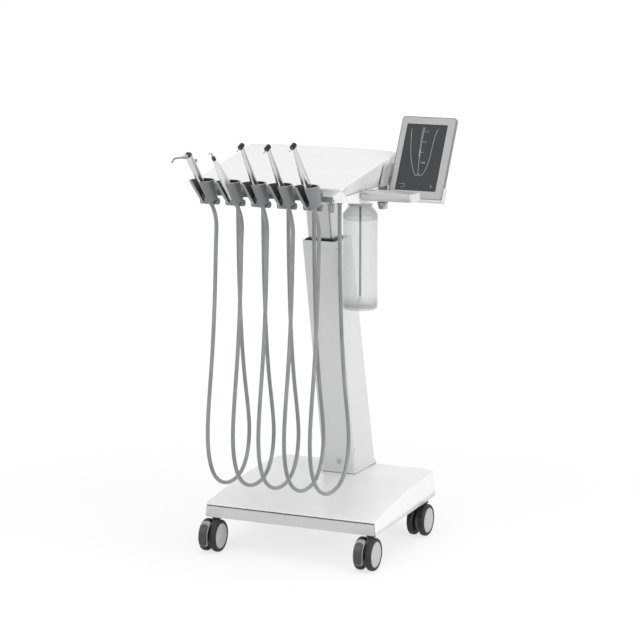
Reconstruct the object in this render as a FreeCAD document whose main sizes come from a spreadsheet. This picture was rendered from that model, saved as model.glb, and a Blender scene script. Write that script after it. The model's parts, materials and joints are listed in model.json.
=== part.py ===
import FreeCAD, Part
import math
import os
from types import SimpleNamespace

import Sketcher
from FreeCAD import Placement, Rotation, Vector

# Portable dental unit: a cart on four casters, a leaning telescopic column, a wedge-shaped delivery head
# with five instruments in open cups, their hoses, a water bottle, a folding handle and a tilting tablet.
# Frame: origin on the floor, midway between the four caster stems. +X is the tablet's side, the
# instruments hang on the -Y side, +Z is up. Millimetres and degrees.

os.makedirs("parts", exist_ok=True)
doc = FreeCAD.newDocument("PortableDentalUnit")
sheet = doc.addObject("Spreadsheet::Sheet", "Sizes")

drivingSizes = [
    # casters
    ("stemSideInset", 20, "caster stems in from the base's sides"),
    ("stemBackInset", 68, "back stems ahead of the base's back"),
    ("wheelDiameter", 75, "caster wheel"),
    ("wheelWidth", 16, "one wheel of a twin pair"),
    ("wheelGap", 12, "free space between twin wheels"),
    ("tyreRound", 5.5, "edge radius of a tyre"),
    ("hubDiameter", 58, "flat disc on a wheel's outer face"),
    ("hubRecess", 0.8, "disc behind the tyre's face"),
    ("casterTrail", 20, "axle behind the stem"),
    ("axleDiameter", 8, "caster axle"),
    ("webThickness", 8, "fork between the wheels"),
    ("webRadius", 26, "round end of the fork web"),
    ("neckDiameter", 22, "swivel head above the fork"),
    ("stemDiameter", 11, "caster stem"),
    ("stemLength", 20, "stem inside its socket"),
    ("hoodWidth", 22, "guard over the left wheel"),
    ("hoodThickness", 1.8, "wheel guard"),
    ("hoodGap", 1.2, "guard to tyre"),
    ("hoodStartAngle", -30, "guard's lower end, angle from the axle's height"),
    ("hoodSpanAngle", 96, "angle that the guard covers"),
    ("pedalWidth", 18, "brake pedal"),
    ("pedalThickness", 3.2, "brake pedal"),
    ("pedalGap", 0.4, "pedal to guard"),
    ("pedalStartAngle", -24, "pedal's lower end, angle from the axle's height"),
    ("pedalSpanAngle", 72, "angle that the pedal covers"),
    # base
    ("baseUnderside", 80, "height of the chassis plate's lower face"),
    ("baseFrontHalf", 213, "half width at the front"),
    ("baseBackHalf", 206, "half width at the back"),
    ("baseLength", 410, "front to back"),
    ("baseFrontReach", 22, "front face ahead of the front stems"),
    ("baseStraight", 150, "length of the parallel front part"),
    ("baseFrontHeight", 31, "chassis underside to the cover's front edge"),
    ("baseBackHeight", 58.5, "chassis underside to the cover's back edge"),
    ("baseCrestHeight", 64, "where the front and back tangents meet"),
    ("baseCrestSetback", 197, "crest behind the front edge"),
    ("baseDraftAngle", 5, "lean of the cover's sides"),
    ("baseFrontRound", 3, "front corners in plan"),
    ("baseBackRound", 33, "back corners in plan"),
    ("coverWall", 3, "base cover's wall"),
    ("skirtLift", 2, "cover's lower edge above the chassis underside"),
    ("fasciaSetback", 0.4, "chassis front panel behind the cover's face"),
    ("couplingDiameter", 13, "supply couplings under the chassis"),
    ("couplingLength", 12, "supply couplings under the chassis"),
    ("couplingFlange", 3, "coupling's flange, its height and its overhang"),
    ("tailLength", 12, "hose tails of the supply couplings"),
    ("airTailDiameter", 8, "air hose tail"),
    ("waterTailDiameter", 6, "water hose tail"),
    ("fasciaSeam", 2.6, "shadow gap under the cover's front edge"),
    ("floorThickness", 6, "chassis plate"),
    ("fitGap", 0.3, "clearance between parts that are set together"),
    ("runGap", 0.05, "radial clearance of a running fit"),
    ("socketWall", 4, "boss around a caster socket"),
    ("socketFloor", 5, "solid above the socket's blind end"),
    # column
    ("columnLeanAngle", 12, "column axis from the vertical"),
    ("columnTop", 712, "height of the column shell's rim"),
    ("columnWidth", 80.5, "column shell"),
    ("columnFront", 42.3, "shell's front face ahead of the axis"),
    ("columnBackTop", 59.5, "shell's back face behind the axis, at the rim"),
    ("columnBackFoot", 82, "shell's back face behind the axis, at the foot"),
    ("columnWall", 2.5, "column shell"),
    ("columnRound", 3.5, "column shell's edges"),
    ("axisSetback", 23, "column axis behind the origin at the rim's height"),
    ("footLip", 3, "foot flange beyond the shell"),
    ("footHeight", 7, "foot flange"),
    ("footGap", 1.8, "foot flange above the height of the cover's back edge"),
    ("mastSide", 66, "mast across"),
    ("mastWall", 2.5, "mast tube"),
    ("mastRoom", 1, "hole in the base cover around the mast"),
    ("mastDrop", 12, "mast's top below the rim"),
    ("innerSide", 60, "inner column across"),
    ("innerWall", 3, "inner column tube"),
    ("innerFoot", 330, "height of the inner column's lower end"),
    ("collarThickness", 8, "collar that closes the shell's top"),
    ("collarDrop", 2.5, "collar below the rim"),
    ("plateThickness", 6, "inner column's top plate"),
    ("plateHalfX", 55, "top plate"),
    ("plateHalfY", 44, "top plate"),
    ("springBodyDiameter", 22, "gas spring body"),
    ("springRodDiameter", 8, "gas spring rod"),
    ("springTop", 430, "height of the gas spring body's top"),
    ("springRodFoot", 200, "height of the rod's lower end"),
    ("springBore", 60, "bore runs on below the rod"),
    ("plugDiameter", 13, "service plug at the column's foot"),
    ("plugHeight", 29, "plug above the base cover"),
    ("screwDiameter", 4, "screw heads on the column's sides"),
    # head
    ("headFrontHalf", 178.5, "half width of the head at its front"),
    ("headFlare", 7.5, "head wider at its back than at its front, each side"),
    ("headFrontY", -293, "front panel"),
    ("headLength", 333, "front to back"),
    ("trayFrontBottom", 845.5, "tray's lower edge at the front"),
    ("trayBottom", 822, "tray's flat underside"),
    ("trayBar", 39, "tray's solid front, which the facets cut"),
    ("traySlopeLength", 177, "sloping front part of the underside"),
    ("seamFront", 875, "seam between tray and cover, front"),
    ("seamSide", 858.3, "seam between tray and cover, sides"),
    ("seamStep", 18.6, "length of the seam's slanted step"),
    ("seamGap", 1.1, "shadow gap of the seam"),
    ("coverCrest", 926, "cover's highest edge"),
    ("coverCrestY", 5, "cover's highest edge"),
    ("coverBackDrop", 32, "fall of the cover's rear slope"),
    ("crestRound", 20, "cover's highest edge"),
    ("rearRound", 8, "cover's rear edge"),
    ("headWall", 3, "tray and cover walls"),
    ("headRound", 16, "head's back corners"),
    ("facetInset", 24.3, "corner facet along the front edge"),
    ("facetDrop", 17.4, "corner facet down the front panel"),
    ("railEndInset", 23.5, "holder rail's ends in from the head's sides"),
    ("railHeight", 11.7, "holder rail"),
    ("railDepth", 12.3, "holder rail"),
    ("railTop", 857.3, "holder rail"),
    ("valveBlockX", 150, "valve block"),
    ("valveBlockY", 70, "valve block"),
    ("valveBlockZ", 22, "valve block"),
    ("valveDiameter", 14, "solenoids on the valve block"),
    # holders and instruments
    ("holderPitch", 62, "from cup to cup"),
    ("cupLeanAngle", 36, "cup axis from the vertical"),
    ("cupAhead", 21.7, "cup's foot ahead of the front panel"),
    ("cupBelow", 27.5, "cup's foot below the rail's top"),
    ("cupLift", 19, "cup's floor above the hose's end"),
    ("cupLevel", 31.2, "cup's level mouth above the rail's top"),
    ("cupLength", 84, "cup before its mouth is cut level"),
    ("cupFootRadius", 19.7, "cup"),
    ("cupMouthRadius", 31.5, "cup"),
    ("cupWall", 3, "cup"),
    ("cupHoleRadius", 10, "hole in the cup's floor"),
    ("slotFoot", 11, "slot width at the foot"),
    ("slotMouth", 18.6, "slot width at the mouth"),
    ("lugWidth", 18, "holder's lug on the rail"),
    ("lugHeight", 20, "holder's lug on the rail"),
    ("saddleWidth", 18, "block between cup and valve"),
    ("saddleDepth", 9.5, "block between cup and valve"),
    ("saddleHeight", 23, "block between cup and valve"),
    ("barrelDiameter", 15, "holder valve"),
    ("barrelLength", 44, "holder valve"),
    ("barrelShift", 10, "valve's middle beside the cup's"),
    ("barrelBehind", 13.6, "valve's axis behind the cup's axis"),
    ("barrelBelow", 4.6, "valve's axis below the hose's end"),
    ("tailRadius", 5.5, "instrument's hose connector"),
    ("ringRadius", 11.5, "instrument's seating ring"),
    ("ringHeight", 8, "instrument's seating ring"),
    ("syringeLeanAngle", 42.5, "syringe from the vertical"),
    ("syringeLength", 168, "syringe body"),
    ("syringeRadius", 8.6, "syringe body"),
    ("buttonRadius", 3.4, "syringe buttons"),
    ("buttonHeight", 134, "syringe buttons along the body"),
    ("buttonSpread", 4.2, "syringe buttons each side of the middle"),
    ("buttonProud", 3, "syringe buttons stand out"),
    ("syringeWaist", 1.2, "syringe body's waist, thinner than its ends"),
    ("buttonCollar", 1.2, "collar around a button"),
    ("buttonDepth", 3, "button inside its well"),
    ("nozzleSeatDrop", 9, "nozzle's seat below the syringe's top"),
    ("nozzleRootRadius", 3, "nozzle's stem in the syringe"),
    ("nozzleRootLength", 9, "nozzle's stem in the syringe"),
    ("nutFootRadius", 4.6, "nozzle's nut"),
    ("nutTopRadius", 1.9, "nozzle's nut"),
    ("nutLength", 30, "nozzle's nut"),
    ("nozzleBendAngle", 38, "bend near the nozzle's tip"),
    ("nozzleRadius", 1.7, "syringe nozzle"),
    ("nozzleLength", 57, "syringe nozzle before its bend"),
    ("nozzleTip", 12, "syringe nozzle after its bend"),
    ("nozzleLeanAngle", 45, "nozzle from the syringe's axis"),
    ("scalerLeanAngle", 44, "scaler from the vertical"),
    ("scalerLength", 157, "scaler body"),
    ("scalerRadius", 9.6, "scaler body"),
    ("scalerNose", 3.9, "scaler's nose, radius"),
    ("tipCollarRadius", 4.2, "scaler tip's collar"),
    ("tipCollarLength", 8, "scaler tip's collar"),
    ("tipNeckRadius", 2.2, "scaler tip above its collar"),
    ("tipNeckLength", 3, "taper above the collar"),
    ("tipShankRadius", 1.1, "scaler tip's shank"),
    ("tipShankLength", 7, "scaler tip's shank"),
    ("hookRadius", 0.8, "scaler tip's hook"),
    ("hookRise", 8, "scaler tip's hook, straight part"),
    ("hookReach", 10, "scaler tip's hook, forward"),
    ("turbineLeanAngle", 36, "turbines from the vertical"),
    ("turbineLength", 171, "turbine body up to the head"),
    ("turbineRadius", 8.4, "turbine body"),
    ("gripFoot", 46, "turbine's grip, where it starts"),
    ("gripMiddle", 74, "turbine's grip, its fuller part"),
    ("gripTop", 100, "turbine's grip, where it ends"),
    ("motorReach", 9, "third turbine, longer than the others"),
    ("motorRadius", 9.8, "third turbine's stout body"),
    ("motorTop", 84, "third turbine's stout body, its end"),
    ("motorShoulder", 92, "third turbine narrows from here"),
    ("motorWaist", 118, "third turbine narrows to here"),
    ("turbineNeckRadius", 4.4, "turbine below its head"),
    ("turbineHeadRadius", 5.6, "turbine head"),
    ("turbineHeadLength", 13, "turbine head"),
    ("headLift", 8, "head's middle above the turbine's neck"),
    ("chuckWall", 1.7, "chuck around the bur"),
    ("chuckDepth", 5, "chuck inside the head"),
    ("burLeanAngle", 77.5, "bur from the turbine's axis"),
    ("burReach", 18, "bur beyond the head"),
    ("burRadius", 0.8, "bur shank"),
    # hoses
    ("hoseDiameter", 9, "instrument hose"),
    ("glandRadius", 6.5, "hose gland"),
    ("glandY", -181, "hose glands"),
    ("glandFoot", 823, "gland's lower end, where the hose starts"),
    ("glandFlange", 3, "gland's flange"),
    ("lastRun", 40, "hose's last run, in line with its instrument"),
    # bottle
    ("bottleX", 110, "bottle axis"),
    ("bottleY", -32, "bottle axis"),
    ("bottleRadius", 39.7, "bottle"),
    ("bottleFoot", 566, "bottle's lower end"),
    ("bottleShoulder", 784, "bottle's shoulder"),
    ("bottleWall", 2, "bottle"),
    ("neckRadius", 24, "bottle neck"),
    ("neckTop", 818, "bottle neck"),
    ("capRadius", 28, "bottle cap"),
    ("capFoot", 803, "bottle cap"),
    ("tubeRadius", 2.6, "pickup tube"),
    ("filterRadius", 8, "pickup filter"),
    ("filterFoot", 578, "pickup filter"),
    ("filterHeight", 16, "pickup filter"),
    # handle and knobs
    ("handleY", -180.5, "middle of the handle"),
    ("handleDepth", 47, "handle front to back"),
    ("handleHeight", 20.5, "handle"),
    ("handleZ", 850.3, "handle's pivot"),
    ("handlePivotOut", 14.5, "handle's pivot beyond the head's side"),
    ("handleReach", 112, "handle from its pivot to its free end"),
    ("handleRound", 3, "handle's edges"),
    ("handleTaper", 1.5, "bar thinner at its free end, above and below"),
    ("pinDiameter", 10, "handle's pivot pin"),
    ("pinHead", 13.5, "pin's head"),
    ("lugDepth", 15, "handle lug on the tray"),
    ("handleKnobOut", 33, "handle's lock knob beyond the pivot"),
    ("handleKnobRadius", 12, "handle's lock knob"),
    ("handleKnobHeight", 15, "handle's lock knob"),
    ("studRadius", 3, "knob studs"),
    ("studLength", 9, "knob studs"),
    ("regulatorX", 125, "spray regulator knob"),
    ("regulatorY", -227, "spray regulator knob"),
    ("regulatorRadius", 6.6, "spray regulator knob"),
    ("regulatorHeight", 19, "spray regulator knob"),
    # tablet
    ("tabletWidth", 130, "tablet"),
    ("tabletHeight", 196, "tablet"),
    ("tabletThickness", 9, "tablet"),
    ("tabletRound", 7, "tablet's corners"),
    ("tabletLeanAngle", 28.2, "tablet leans back"),
    ("tabletOut", 82, "tablet's middle beyond the head's side"),
    ("tabletFootY", -82, "tablet's lower front edge"),
    ("tabletFootZ", 832, "tablet's lower front edge"),
    ("cradleWall", 3, "cradle"),
    ("hookHeight", 29, "cradle's side hooks"),
    ("cradleBackHalf", 42, "cradle's back plate"),
    ("cradleBackHeight", 96, "cradle's back plate"),
    ("hingeBehind", 23, "cradle's pivot behind the tablet's face"),
    ("hingeAbove", 48, "cradle's pivot above the tablet's foot"),
    ("hingePin", 8, "cradle's pivot pin"),
    ("hingeBoss", 18, "boss around the cradle's pivot"),
    ("hingeLugWidth", 18, "lug behind the cradle"),
    ("shelfLip", 2.5, "cradle's shelf and hooks ahead of the tablet's face"),
    ("bracketDepth", 72, "tablet bracket"),
    ("bracketAhead", 59, "bracket's front edge ahead of the pivot"),
    ("bracketThickness", 5.5, "tablet bracket"),
    ("bracketFoot", 838, "tablet bracket"),
    ("bracketTop", 902, "tablet bracket"),
    ("bracketRound", 12, "bracket's upper front corner"),
]

holderCount = 5


class Size:
    """A value of the sheet, or a formula of such values, held as a number and as its expression."""

    def __init__(self, value, text):
        self.value = float(value)
        self.text = text

    def __float__(self):
        return self.value

    def __add__(self, other):
        return Size(self.value + float(other), f"({self.text} + {formula(other)})")

    def __radd__(self, other):
        return Size(float(other) + self.value, f"({formula(other)} + {self.text})")

    def __sub__(self, other):
        return Size(self.value - float(other), f"({self.text} - {formula(other)})")

    def __rsub__(self, other):
        return Size(float(other) - self.value, f"({formula(other)} - {self.text})")

    def __mul__(self, other):
        return Size(self.value * float(other), f"({self.text} * {formula(other)})")

    def __rmul__(self, other):
        return Size(float(other) * self.value, f"({formula(other)} * {self.text})")

    def __truediv__(self, other):
        return Size(self.value / float(other), f"({self.text} / {formula(other)})")

    def __neg__(self):
        return Size(-self.value, f"(0 - {self.text})")

    def __abs__(self):
        return Size(abs(self.value), f"abs({self.text})")


def formula(value):
    """The expression text of a size or of a plain number."""
    return value.text if isinstance(value, Size) else f"{float(value):.9g}"


def tangentOf(angle):
    """Tangent of an angle in degrees, as a size."""
    return Size(math.tan(math.radians(float(angle))), f"tan({formula(angle)} * 1 deg)")


def cosineOf(angle):
    """Cosine of an angle in degrees, as a size."""
    return Size(math.cos(math.radians(float(angle))), f"cos({formula(angle)} * 1 deg)")


def fillSheet():
    """Writes name, value and note of every driving size and returns the sizes by name."""
    sizes = {}
    for row, (name, value, note) in enumerate(drivingSizes, start=1):
        sheet.set(f"A{row}", name)
        sheet.set(f"B{row}", str(value))
        sheet.set(f"C{row}", note)
        sheet.setAlias(f"B{row}", name)
        sizes[name] = Size(value, f"Sizes.{name}")
    doc.recompute()
    return SimpleNamespace(**sizes)


size = fillSheet()
kept = {}


def keep(label, item, place=None):
    """Names a finished sub-part and sets where it stands."""
    if place is not None:
        item.Placement = place
    item.Label = label
    kept[label] = item
    return item


def at(x, y, z, turn=None):
    """A placement from three sizes or numbers and an optional rotation."""
    return Placement(Vector(float(x), float(y), float(z)), turn or Rotation())


def about(axis, degrees):
    """A rotation about one of the main axes."""
    axes = {"x": Vector(1, 0, 0), "y": Vector(0, 1, 0), "z": Vector(0, 0, 1)}
    return Rotation(axes[axis], float(degrees))


# ---------------------------------------------------------------- sketches and features

def newBody(name):
    return doc.addObject("PartDesign::Body", name)


def originPlane(body, role):
    return next(feature for feature in body.Origin.OriginFeatures if feature.Role == role)


def newSketch(body, name, role, lift=0):
    """A sketch on one of the body's own planes, lifted along the plane's normal."""
    sketch = body.newObject("Sketcher::SketchObject", name)
    sketch.AttachmentSupport = [(originPlane(body, role), "")]
    sketch.MapMode = "FlatFace"
    sketch.setExpression("AttachmentOffset.Base.z", formula(lift))
    return sketch


def fixPoint(sketch, geometry, end, x, y):
    """Ties one point of a sketch to the sheet."""
    for kind, value in (("DistanceX", x), ("DistanceY", y)):
        index = sketch.addConstraint(Sketcher.Constraint(kind, -1, 1, geometry, end, float(value)))
        if isinstance(value, Size):
            sketch.setExpression(f"Constraints[{index}]", value.text)


def addRadius(sketch, geometry, radius):
    index = sketch.addConstraint(Sketcher.Constraint("Radius", geometry, float(radius)))
    if isinstance(radius, Size):
        sketch.setExpression(f"Constraints[{index}]", radius.text)


def addLoop(sketch, corners):
    """Adds a closed outline. A corner is (x, y), or (x, y, radius) where it is rounded."""
    count = len(corners)
    spots = [Vector(float(corner[0]), float(corner[1]), 0) for corner in corners]
    radii = [corner[2] if len(corner) > 2 else None for corner in corners]
    enter, leave, centres = [], [], []
    for i, spot in enumerate(spots):
        backward = (spots[i - 1] - spot).normalize()
        forward = (spots[(i + 1) % count] - spot).normalize()
        half = backward.getAngle(forward) / 2
        reach = 0 if radii[i] is None else float(radii[i]) / math.tan(half)
        depth = 0 if radii[i] is None else float(radii[i]) / math.sin(half)
        enter.append(spot + backward * reach)
        leave.append(spot + forward * reach)
        centres.append(spot + (backward + forward).normalize() * depth if radii[i] is not None else spot)
    first = sketch.GeometryCount
    for i in range(count):
        sketch.addGeometry(Part.LineSegment(leave[i], enter[(i + 1) % count]), False)
    for i, corner in enumerate(corners):
        before, after = first + (i - 1) % count, first + i
        if radii[i] is None:
            sketch.addConstraint(Sketcher.Constraint("Coincident", before, 2, after, 1))
            fixPoint(sketch, after, 1, corner[0], corner[1])
            continue
        inward, outward = enter[i] - centres[i], leave[i] - centres[i]
        leftTurn = inward.cross(outward).z > 0
        start, stop = (inward, outward) if leftTurn else (outward, inward)
        circle = Part.Circle(centres[i], Vector(0, 0, 1), float(radii[i]))
        angles = [math.atan2(way.y, way.x) for way in (start, stop)]
        if angles[1] < angles[0]:
            angles[1] += 2 * math.pi
        arc = sketch.addGeometry(Part.ArcOfCircle(circle, *angles), False)
        point = sketch.addGeometry(Part.Point(spots[i]), True)
        fixPoint(sketch, point, 1, corner[0], corner[1])
        sketch.addConstraint(Sketcher.Constraint("PointOnObject", point, 1, before))
        sketch.addConstraint(Sketcher.Constraint("PointOnObject", point, 1, after))
        sketch.addConstraint(Sketcher.Constraint("Tangent", before, 2, arc, 1 if leftTurn else 2))
        sketch.addConstraint(Sketcher.Constraint("Tangent", arc, 2 if leftTurn else 1, after, 1))
        addRadius(sketch, arc, radii[i])
    return sketch


def addCircle(sketch, x, y, radius):
    circle = sketch.addGeometry(
        Part.Circle(Vector(float(x), float(y), 0), Vector(0, 0, 1), float(radius)), False)
    fixPoint(sketch, circle, 3, x, y)
    addRadius(sketch, circle, radius)
    return sketch


def outline(body, name, role, corners, lift=0):
    return addLoop(newSketch(body, name, role, lift), corners)


def disc(body, name, role, x, y, radius, lift=0):
    return addCircle(newSketch(body, name, role, lift), x, y, radius)


def block(x0, x1, y0, y1, radius=None):
    """Corners of a rectangle, all rounded alike where a radius is given."""
    spots = [(x0, y0), (x1, y0), (x1, y1), (x0, y1)]
    return spots if radius is None else [(x, y, radius) for x, y in spots]


def feature(body, kind, name, sketch, length, middle=False, back=False):
    """A pad or pocket of a sketch. No length means through everything, both ways."""
    item = body.newObject(f"PartDesign::{kind}", name)
    item.Profile = sketch
    if length is None:
        item.Type = 1
        item.Midplane = True
    else:
        item.setExpression("Length", formula(length))
        item.Midplane = middle
        item.Reversed = back
    return item


def pad(body, name, sketch, length, middle=False, back=False):
    return feature(body, "Pad", name, sketch, length, middle, back)


def pocket(body, name, sketch, length=None, middle=False, back=False):
    """Cuts a sketch out of a body, and makes sure that it took something away."""
    doc.recompute()
    before = body.Shape.Volume
    item = feature(body, "Pocket", name, sketch, length, middle, back)
    doc.recompute()
    if body.Shape.Volume > before - 1e-3:
        raise RuntimeError(f"{body.Name}: pocket {name} cut nothing")
    return item


def turned(body, name, sketch, axis="V_Axis", cut=False):
    """A full turn of a sketch about its vertical or horizontal axis."""
    item = body.newObject("PartDesign::Groove" if cut else "PartDesign::Revolution", name)
    item.Profile = sketch
    item.ReferenceAxis = (sketch, [axis])
    item.Angle = 360
    return item


def roundEdges(body, name, base, radius, wanted):
    """Fillets those edges of a feature that the test picks."""
    doc.recompute()
    names = [f"Edge{i}" for i, edge in enumerate(base.Shape.Edges, start=1) if wanted(edge)]
    fillet = body.newObject("PartDesign::Fillet", name)
    fillet.Base = (base, names)
    fillet.setExpression("Radius", formula(radius))
    return fillet


def lofted(body, name, sections, cut=False):
    """A straight-sided form between outlines at several heights."""
    sketches = [outline(body, f"{name}{i}", "XY_Plane", corners, lift)
                for i, (lift, corners) in enumerate(sections)]
    item = body.newObject("PartDesign::SubtractiveLoft" if cut else "PartDesign::AdditiveLoft", name)
    item.Profile = sketches[0]
    item.Sections = sketches[1:]
    item.Ruled = True
    return item


def solid(kind, name, place=None, **sizes):
    """A Part primitive whose properties are tied to the sheet."""
    item = doc.addObject(f"Part::{kind}", name)
    for key, value in sizes.items():
        item.setExpression(key, formula(value))
    if place is not None:
        item.Placement = place
    return item


def cut(name, base, tool):
    item = doc.addObject("Part::Cut", name)
    item.Base = base
    item.Tool = tool
    return item


def fuse(name, shapes):
    item = doc.addObject("Part::MultiFuse", name)
    item.Shapes = shapes
    return item


def compound(name, shapes):
    item = doc.addObject("Part::Compound", name)
    item.Links = shapes
    return item


def rounded(name, base, radius, wanted=lambda edge: True):
    """A Part fillet over those edges that the test picks."""
    doc.recompute()
    item = doc.addObject("Part::Fillet", name)
    item.Base = base
    item.Edges = [(i, float(radius), float(radius))
                  for i, edge in enumerate(base.Shape.Edges, start=1) if wanted(edge)]
    return item


# ---------------------------------------------------------------- places shared by several sub-parts

stemHalfX = size.baseFrontHalf - size.stemSideInset
stemHalfY = (size.baseLength - size.baseFrontReach - size.stemBackInset) / 2
baseFront = -stemHalfY - size.baseFrontReach
baseBack = baseFront + size.baseLength
skirtFoot = size.baseUnderside + size.skirtLift
chassisTop = size.baseUnderside + size.floorThickness
frontSlope = (size.baseCrestHeight - size.baseFrontHeight) / size.baseCrestSetback
backSlope = (size.baseBackHeight - size.baseCrestHeight) / (size.baseLength - size.baseCrestSetback)
baseTop = size.baseUnderside + size.baseCrestHeight
leanSlope = tangentOf(size.columnLeanAngle)
headBack = size.headFrontY + size.headLength
headBackHalf = size.headFrontHalf + size.headFlare
railHalf = size.headFrontHalf - size.railEndInset
handlePivotX = size.headFrontHalf + size.handlePivotOut
handleEnd = handlePivotX + size.handleReach
handleKnobX = handlePivotX + size.handleKnobOut
tabletX = size.headFrontHalf + size.tabletOut
coverSlope = (size.coverCrest - size.seamFront) / (size.coverCrestY - size.headFrontY)
underSlope = (size.trayFrontBottom - size.trayBottom) / size.traySlopeLength
sideSlope = (headBackHalf - size.headFrontHalf) / size.headLength
cupFootY = size.headFrontY - size.cupAhead
cupFootZ = size.railTop - size.cupBelow
footZ = size.baseUnderside + size.baseBackHeight + size.footGap


def axisY(height):
    """How far back the column's axis is at a height."""
    return size.axisSetback + (size.columnTop - height) * leanSlope


def headSide(y):
    """Half width of the head at a place along it."""
    return size.headFrontHalf + (y - size.headFrontY) * sideSlope


def trayUnder(y):
    """Height of the tray's sloping underside."""
    return size.trayFrontBottom - (y - size.headFrontY) * underSlope


def column(body, name, halfX, front, backTop, backFoot, low, high, radius, cutAway=False):
    """A leaning tube or rod between two heights; front and back are measured from the axis."""
    sections = []
    for height, back in ((low, backFoot), (high, backTop)):
        corners = block(-halfX, halfX, axisY(height) - front, axisY(height) + back, radius)
        sections.append((height, corners))
    return lofted(body, name, sections, cutAway)


# ---------------------------------------------------------------- base

def basePlan(inset):
    """The base cover's outline at its skirt, moved inwards by an inset."""
    front, back = baseFront + inset, baseBack - inset
    wide, narrow = size.baseFrontHalf - inset, size.baseBackHalf - inset
    straight = baseFront + size.baseStraight
    frontRound, backRound = size.baseFrontRound - inset / 2, size.baseBackRound - inset
    return [(-wide, front, frontRound), (wide, front, frontRound), (wide, straight),
            (narrow, back, backRound), (-narrow, back, backRound), (-wide, straight)]


def baseForm(name, inset, low):
    """The base cover's outer or inner form: the outline raised with draft, under a crowned top."""
    body = newBody(name)
    raised = pad(body, name + "Wall", outline(body, name + "Plan", "XY_Plane", basePlan(inset), low),
                 size.baseCrestHeight + 4)
    raised.setExpression("TaperAngle", formula(-size.baseDraftAngle))
    beyond = size.baseCrestHeight / 3
    radius = 1.8 * size.baseCrestSetback / (frontSlope - backSlope)
    y0, y1 = baseFront - beyond, baseBack + beyond
    z0 = size.baseUnderside + size.baseFrontHeight - beyond * frontSlope - inset
    z1 = size.baseUnderside + size.baseBackHeight + beyond * backSlope - inset
    crest = (baseFront + size.baseCrestSetback, baseTop - inset, radius)
    above = baseTop + 2 * beyond
    sky = outline(body, name + "Sky", "YZ_Plane", [(y0, z0), crest, (y1, z1), (y1, above), (y0, above)])
    pocket(body, name + "Top", sky)
    return body


def makeBase():
    """Cover, chassis with its fascia and caster sockets, and the supply couplings at the back."""
    outer = baseForm("coverOuter", 0 * size.coverWall, skirtFoot)
    inner = baseForm("coverInner", size.coverWall, skirtFoot - 1)
    hollow = cut("coverHollow", outer, inner)
    inset = size.coverWall + 2 * size.fitGap
    fasciaTop = size.baseUnderside + size.baseFrontHeight - size.coverWall - size.fasciaSeam
    fasciaHalf = size.baseFrontHalf - size.coverWall - 3 * size.fitGap
    fasciaBack = baseFront + inset + 2
    window = solid("Box", "fasciaWindow",
                   at(-fasciaHalf - size.fitGap, baseFront - 1, size.baseUnderside - 1),
                   Length=2 * (fasciaHalf + size.fitGap), Width=1 + inset + 2 + size.fitGap,
                   Height=fasciaTop - size.baseUnderside + 1 + size.fasciaSeam)
    passage = newBody("mastPassage")
    mastHalf = size.mastSide / 2 + size.mastRoom
    mastReach = mastHalf / cosineOf(size.columnLeanAngle)
    column(passage, "mastPassageLoft", mastHalf, mastReach, mastReach, mastReach,
           size.baseUnderside, baseTop + size.mastSide, None)
    keep("base_cover", cut("coverCut", cut("coverOpened", hollow, window), passage))

    body = newBody("chassis")
    pad(body, "floor", outline(body, "floorPlan", "XY_Plane", basePlan(inset), size.baseUnderside),
        size.floorThickness)
    fascia = block(-fasciaHalf, fasciaHalf, baseFront + size.fasciaSetback, fasciaBack)
    pad(body, "fascia", outline(body, "fasciaPlan", "XY_Plane", fascia, size.baseUnderside),
        fasciaTop - size.baseUnderside)
    bosses = newSketch(body, "socketBosses", "XY_Plane", size.baseUnderside)
    sockets = newSketch(body, "socketHoles", "XY_Plane", size.baseUnderside)
    for x in (-stemHalfX, stemHalfX):
        for y in (-stemHalfY, stemHalfY):
            addCircle(bosses, x, y, size.stemDiameter / 2 + size.socketWall)
            addCircle(sockets, x, y, size.stemDiameter / 2 + size.runGap)
    pad(body, "bosses", bosses, size.stemLength + size.socketFloor)
    pocket(body, "holes", sockets, size.stemLength + 1, back=True)
    keep("base_chassis", body)

    couplings = newBody("couplings")
    for side, name, tail in ((-1, "water", size.waterTailDiameter), (1, "air", size.airTailDiameter)):
        x, y = side * size.mastSide / 2, baseBack - size.baseBackRound
        grip, flange = size.couplingDiameter / 2, size.couplingFlange
        steps = ((grip + flange, flange), (grip, size.couplingLength),
                 (tail / 2, size.couplingLength + size.tailLength))
        for step, (radius, length) in enumerate(steps):
            ring = disc(couplings, f"{name}Ring{step}", "XY_Plane", x, y, radius, size.baseUnderside)
            pad(couplings, f"{name}Step{step}", ring, length, back=True)
    keep("supply_inlets", couplings)


# ---------------------------------------------------------------- casters

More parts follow.
